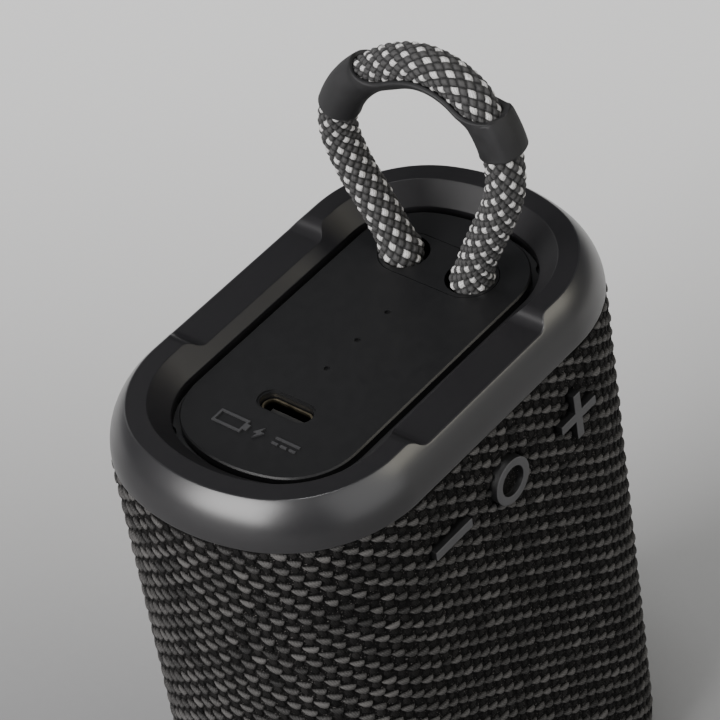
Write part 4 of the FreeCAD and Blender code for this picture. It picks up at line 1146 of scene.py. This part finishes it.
@dataclass
class Cloth:
    """Woven sleeve: dark ground sheet with key openings, pale weft floats and dark warp floats on it."""

    low: float = 8.62
    high: float = 104.24
    ground_out: float = 10.96
    thickness: float = 1.0
    columns: int = 110
    pitch: float = 3.04
    climb_rows: int = 3
    plan: KeyPlan = KeyPlan()
    dip: float = 0.25
    dip_reach: float = 0.45
    tuck: float = 0.3
    tuck_reach: float = 0.35
    steps: tuple[float, float, float] = (0.2, 0.45, 0.8)

    def level_out(self, way: np.ndarray, z: np.ndarray) -> np.ndarray:
        """Offset of the ground: even, but tucked in along bell curves at both seams and round the keys.

        Args:
            way: ways round the casing.
            z: levels.

        Returns:
            The offsets.
        """
        x, y, _, _ = OUTLINE.at(way, np.full(np.shape(way), OUTLINE.measured_out))
        clear = np.where(y < 0, self.plan.clearance(x, z), np.inf)
        seam = np.minimum(z - self.low, self.high - z)
        return (self.ground_out - self.dip * np.exp(-(np.clip(clear, 0, None) / self.dip_reach) ** 2)
                - self.tuck * np.exp(-(seam / self.tuck_reach) ** 2))

    def place(self, way: np.ndarray, z: np.ndarray, rise: np.ndarray) -> np.ndarray:
        """Points at a way round and a level, standing `rise` above the ground."""
        x, y, _, _ = OUTLINE.at(way, self.level_out(way, z) + rise)
        return np.stack([x, y, z], -1)

    def lines(self, start: float, stop: float, coarse: float, fine: float,
              stretches: Sequence[tuple[float, float]], marks: Sequence[float]) -> np.ndarray:
        """Grid lines: coarse steps, fine steps on some stretches, and exact marks.

        Args:
            start: first line.
            stop: last line.
            coarse: usual step.
            fine: step on the stretches.
            stretches: (from, to) pairs.
            marks: lines that must be kept.

        Returns:
            Sorted lines.
        """
        lines = np.linspace(start, stop, int((stop - start) / coarse) + 1)
        for a, b in stretches:
            lines = lines[(lines < a) | (lines > b)]
            lines = np.concatenate([lines, np.linspace(a, b, int((b - a) / fine) + 1)])
        near = np.abs(lines[:, None] - np.array(marks)[None, :]).min(1) < 0.4 * fine
        keep = ~near | (lines == start) | (lines == stop)
        return np.unique(np.round(np.concatenate([lines[keep], np.array(marks)]), 4))

    def ground(self) -> Surface:
        """Sheet on a grid of ways and levels, without the cells inside the key openings.

        Round the middle key the grid between a small square and a larger one is drawn in, so that the small
        square becomes the opening's circle.

        Returns:
            The sheet, its seam still to be welded.
        """
        plan, total = self.plan, OUTLINE.length
        long, thin = plan.arm / 2 + plan.gap, plan.bar / 2 + plan.gap
        square, outer, circle = 3.4, 6.2, plan.ring + plan.gap
        marks_x = [plan.plus_x + d for d in (-long, -thin, thin, long)]
        marks_x += [plan.minus_x - long, plan.minus_x + long, plan.power_x - square, plan.power_x + square]
        marks_z = [plan.level + d for d in (-long, -square, -thin, thin, square, long)]
        near_keys, key_band = [(-21.0, -8.6), (-6.4, 6.2), (11.0, 23.0)], [(86.4, 98.8)]
        ways = self.lines(-total / 2, total / 2, 1.25, 0.3, near_keys, marks_x)[:-1]
        levels = self.lines(self.low, self.high, 1.4, 0.3, key_band, marks_z)
        steps = np.array(self.steps)
        levels = np.unique(np.concatenate([levels, self.low + steps, self.high - steps]))
        way, level = np.meshgrid(ways, levels, indexing="ij")
        from_x, from_z = way - plan.power_x, level - plan.level
        ring = np.maximum(np.abs(from_x), np.abs(from_z))
        pull = np.clip((outer - ring) / (outer - square), 0, 1)
        reach = np.maximum(np.hypot(from_x, from_z), 1e-6)
        scale = np.where(ring < outer, 1 - pull + pull * circle * ring / (square * reach), 1.0)
        points = self.place(plan.power_x + from_x * scale, plan.level + from_z * scale, np.zeros(way.shape))
        quads = grid_quads(len(ways), len(levels), wrap_rows=True)[:, ::-1]
        mid_x = (way.ravel()[quads[:, 0]] + way.ravel()[quads[:, 2]]) / 2
        mid_z = level.ravel()[quads].mean(1)

        def inside(centre: float, half_x: float, half_z: float) -> np.ndarray:
            """Whether each cell lies in a rectangle."""
            return (np.abs(mid_x - centre) < half_x) & (np.abs(mid_z - plan.level) < half_z)

        opened = (inside(plan.plus_x, long, thin) | inside(plan.plus_x, thin, long)
                  | inside(plan.minus_x, long, thin) | inside(plan.power_x, square, square))
        return Surface(points.reshape(-1, 3), quads[~opened])

    def centres(self, shift: float) -> tuple[np.ndarray, np.ndarray]:
        """Lay out one set of floats as a brick lattice that climbs a few rows once round.

        Args:
            shift: how far up it is moved, as a share of the row pitch.

        Returns:
            Ways and levels of the floats that lie on cloth.
        """
        step = OUTLINE.length / self.columns
        count = int((self.high - self.low) / self.pitch) + 6
        column, row = np.meshgrid(np.arange(self.columns), np.arange(-3, count), indexing="ij")
        way = column * step
        level = (self.low + (row + np.where(column % 2 == 1, 0.5, 0.0) + shift) * self.pitch
                 + column / self.columns * self.climb_rows * self.pitch)
        spill, over_edge = 0.2, 0.05
        x, y, _, _ = OUTLINE.at(way, np.full(way.shape, OUTLINE.measured_out))
        keep = (level > self.low - spill) & (level < self.high + spill)
        keep &= (y > 0) | (self.plan.clearance(x, level) > -over_edge)
        return way[keep], level[keep]

    def floats(self, ways: np.ndarray, levels: np.ndarray, weave: Weave, seed: int) -> Surface:
        """Closed lens for each centre.

        Along u from -1 to 1 its half width is (1 - |u| ^ 2.2) ^ 0.85, and it hangs from its upper edge by
        the weave's share of that half width. Round it, the height is the square root of the angle's sine
        above the ground and part of the sine below.

        Args:
            ways: centres round the casing.
            levels: centres' levels.
            weave: the set's shape.
            seed: seed of its small differences.

        Returns:
            All of them as one surface, with shade and UV.
        """
        chance = np.random.default_rng(seed)
        count, ring, rows = len(ways), weave.ring, weave.rows + 2
        u = np.sin(np.linspace(-1, 1, rows) * np.pi / 2)[:, None]
        angle = (np.arange(ring) * 2 * np.pi / ring)[None, :]
        width = np.clip(1 - np.abs(u) ** 2.2, 0, 1) ** 0.85
        across = width * np.cos(angle)
        sine = np.sin(angle)
        lift = np.clip(1 - np.abs(u) ** 3, 0, 1) ** 0.5 * np.where(sine > 0, np.abs(sine) ** 0.5, sine * 0.4)
        across = across - weave.hang * (width - 0.5)
        length, breadth, height = weave.size
        grow = chance.normal(1.0, 0.07, (3, count, 1, 1))
        slope = weave.tilt + chance.normal(0, 0.05, (count, 1, 1))
        shift = chance.normal(0, 0.05, (2, count, 1, 1))
        run, over = u * length * grow[0], across * breadth * grow[1]
        way = ways[:, None, None] + run + weave.lean * over + shift[0]
        level = np.clip(levels[:, None, None] + over + slope * run + shift[1], self.low, self.high)
        points = self.place(way, level, np.broadcast_to(lift * height * grow[2], way.shape))
        quads = grid_quads(rows, ring, wrap_columns=True)
        quads = (quads[None] + (np.arange(count) * rows * ring)[:, None, None]).reshape(-1, 4)
        shade = np.broadcast_to(np.clip(chance.normal(0.55, 0.22, (count, 1, 1)), 0, 1), way.shape)
        uv = np.stack([np.broadcast_to(share * 0.5 + 0.5, way.shape) for share in (u, across)], -1)
        return Surface(points.reshape(-1, 3), quads, stored={"shade": shade.ravel().copy()},
                       uv=uv.reshape(-1, 2))

    def build(self, palette: Palette) -> None:
        """Make the ground and both sets of floats, in panels round the casing.

        Args:
            palette: the finishes' materials.
        """
        ground = self.ground().piece("cloth_ground", palette.of(Slot.CLOTH), weld=True)
        shell = ground.modifiers.new("thickness", "SOLIDIFY")
        shell.thickness, shell.offset = self.thickness * MM, -1.0
        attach(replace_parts(ground, "fabric_sleeve"), "root")
        quarter = OUTLINE.length / 4
        for weave in WEAVES:
            ways, levels = self.centres(weave.shift)
            panel = (np.mod(ways + quarter / 2, OUTLINE.length) // quarter).astype(int)
            for number, side in enumerate(("front", "right", "back", "left")):
                pick = panel == number
                yarns = self.floats(ways[pick], levels[pick], weave, SEED + number)
                piece = yarns.piece("cloth_%s_%s" % (weave.name, side), palette.of(weave.yarn),
                                    weld=True, outward=True)
                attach(piece, "root")
        OUTLINE.length * MM


@dataclass
class Keys:
    """Three rubber keys that stand a little proud of the cloth, each with its flange and switch nub."""

    face: float = -28.0
    root: float = -22.6
    flange_back: float = -21.8
    nub_back: float = -20.6
    pad: float = -26.1
    flange: float = 5.5
    low_flange: float = 3.0
    round_flange: float = 5.2
    nub: float = 1.2
    edge: float = 0.09
    ring_edge: float = 0.12
    plan: KeyPlan = KeyPlan()

    def rectangle(self, x: float, half_x: float, half_z: float) -> np.ndarray:
        """Corners of a rectangle round x at the keys' level, turning left seen from the front."""
        corners = np.array([(-half_x, -half_z), (half_x, -half_z), (half_x, half_z), (-half_x, half_z)])
        return corners + np.array([x, self.plan.level])

    def cross(self) -> np.ndarray:
        """Corners of the plus."""
        long, thin = self.plan.arm / 2, self.plan.bar / 2
        spots = [(-long, -thin), (-thin, -thin), (-thin, -long), (thin, -long), (thin, -thin), (long, -thin),
                 (long, thin), (thin, thin), (thin, long), (-thin, long), (-thin, thin), (-long, thin)]
        return np.array(spots) + np.array([self.plan.plus_x, self.plan.level])

    def finish(self, surface: Surface, name: str, body: str, palette: Palette, edge: float) -> None:
        """Turn a surface into a key that moves with its body.

        Args:
            surface: its shape.
            name: the node that it replaces.
            body: the body that it rides on.
            palette: the finishes' materials.
            edge: width of its softened edges, 0 to leave them.
        """
        piece = surface.piece(name + "_cap", palette.of(KEY_RUBBER), weld=True, outward=True)
        if edge:
            soft = piece.modifiers.new("edges", "BEVEL")
            soft.width, soft.segments, soft.harden_normals = edge * MM, 3, True
            soft.limit_method = "ANGLE"
        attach(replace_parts(piece, name), body)

    def build(self, palette: Palette) -> None:
        """Make the three keys.

        Args:
            palette: the finishes' materials.
        """
        plan, flange, nub = self.plan, self.flange, self.nub
        minus = self.rectangle(plan.minus_x, plan.arm / 2, plan.bar / 2)
        switch_nub = [(nub, self.flange_back), (nub, self.nub_back), (0, self.nub_back)]
        for name, body, outline, x, high in (
                ("key_plus", "plus_key", self.cross(), plan.plus_x, flange),
                ("key_minus", "minus_key", minus, plan.minus_x, self.low_flange)):
            parts = [prism(outline, self.face, self.root),
                     prism(self.rectangle(x, flange, high), self.root, self.flange_back),
                     turned(np.array([(0, self.flange_back)] + switch_nub), x, plan.level, 20)]
            self.finish(joined(parts), name, body, palette, self.edge)
        bend = np.radians(np.linspace(0, 90, 5))
        in_by, back_by = self.ring_edge * (1 - np.cos(bend)), self.ring_edge * (1 - np.sin(bend))
        inner = np.column_stack([plan.disc + in_by, self.face + back_by])
        outer = np.column_stack([plan.ring - in_by[::-1], self.face + back_by[::-1]])
        profile = np.concatenate([[(0, self.pad), (plan.disc, self.pad)], inner, outer,
                                  [(plan.ring, self.root), (self.round_flange, self.root),
                                   (self.round_flange, self.flange_back)], switch_nub])
        self.finish(turned(profile, plan.power_x, plan.level, 96), "key_power", "power_key", palette, 0.0)


# ---------------------------------------------------------------- carried-over nodes


def dress_nodes(palette: Palette) -> None:
    """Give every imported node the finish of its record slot, or its own.

    Args:
        palette: the finishes' materials.
    """
    by_name = {slot.value.name: slot for slot in Slot}
    special = {"deck_screws": BLACKENED, "charge_marks": MARK_PLASTIC}
    for entry in frame["record"]["subparts"]:
        node = frame["nodes"][entry["node"]]
        finish = special.get(entry["node"], by_name[entry["material_slot"]])
        for holder in node.material_slots:
            holder.material = palette.of(finish)
        LOG.info("%s takes %s", node.name, entry["material_slot"])


def main() -> None:
    """Build the scene."""
    palette = Palette()
    Studio().build()
    Loop().build(palette)
    dress_nodes(palette)
    TopRim().build(palette)
    Cloth().build(palette)
    Keys().build(palette)


if __name__ == "__main__":
    logging.basicConfig(level=logging.INFO, format="%(name)s: %(message)s")
    main()
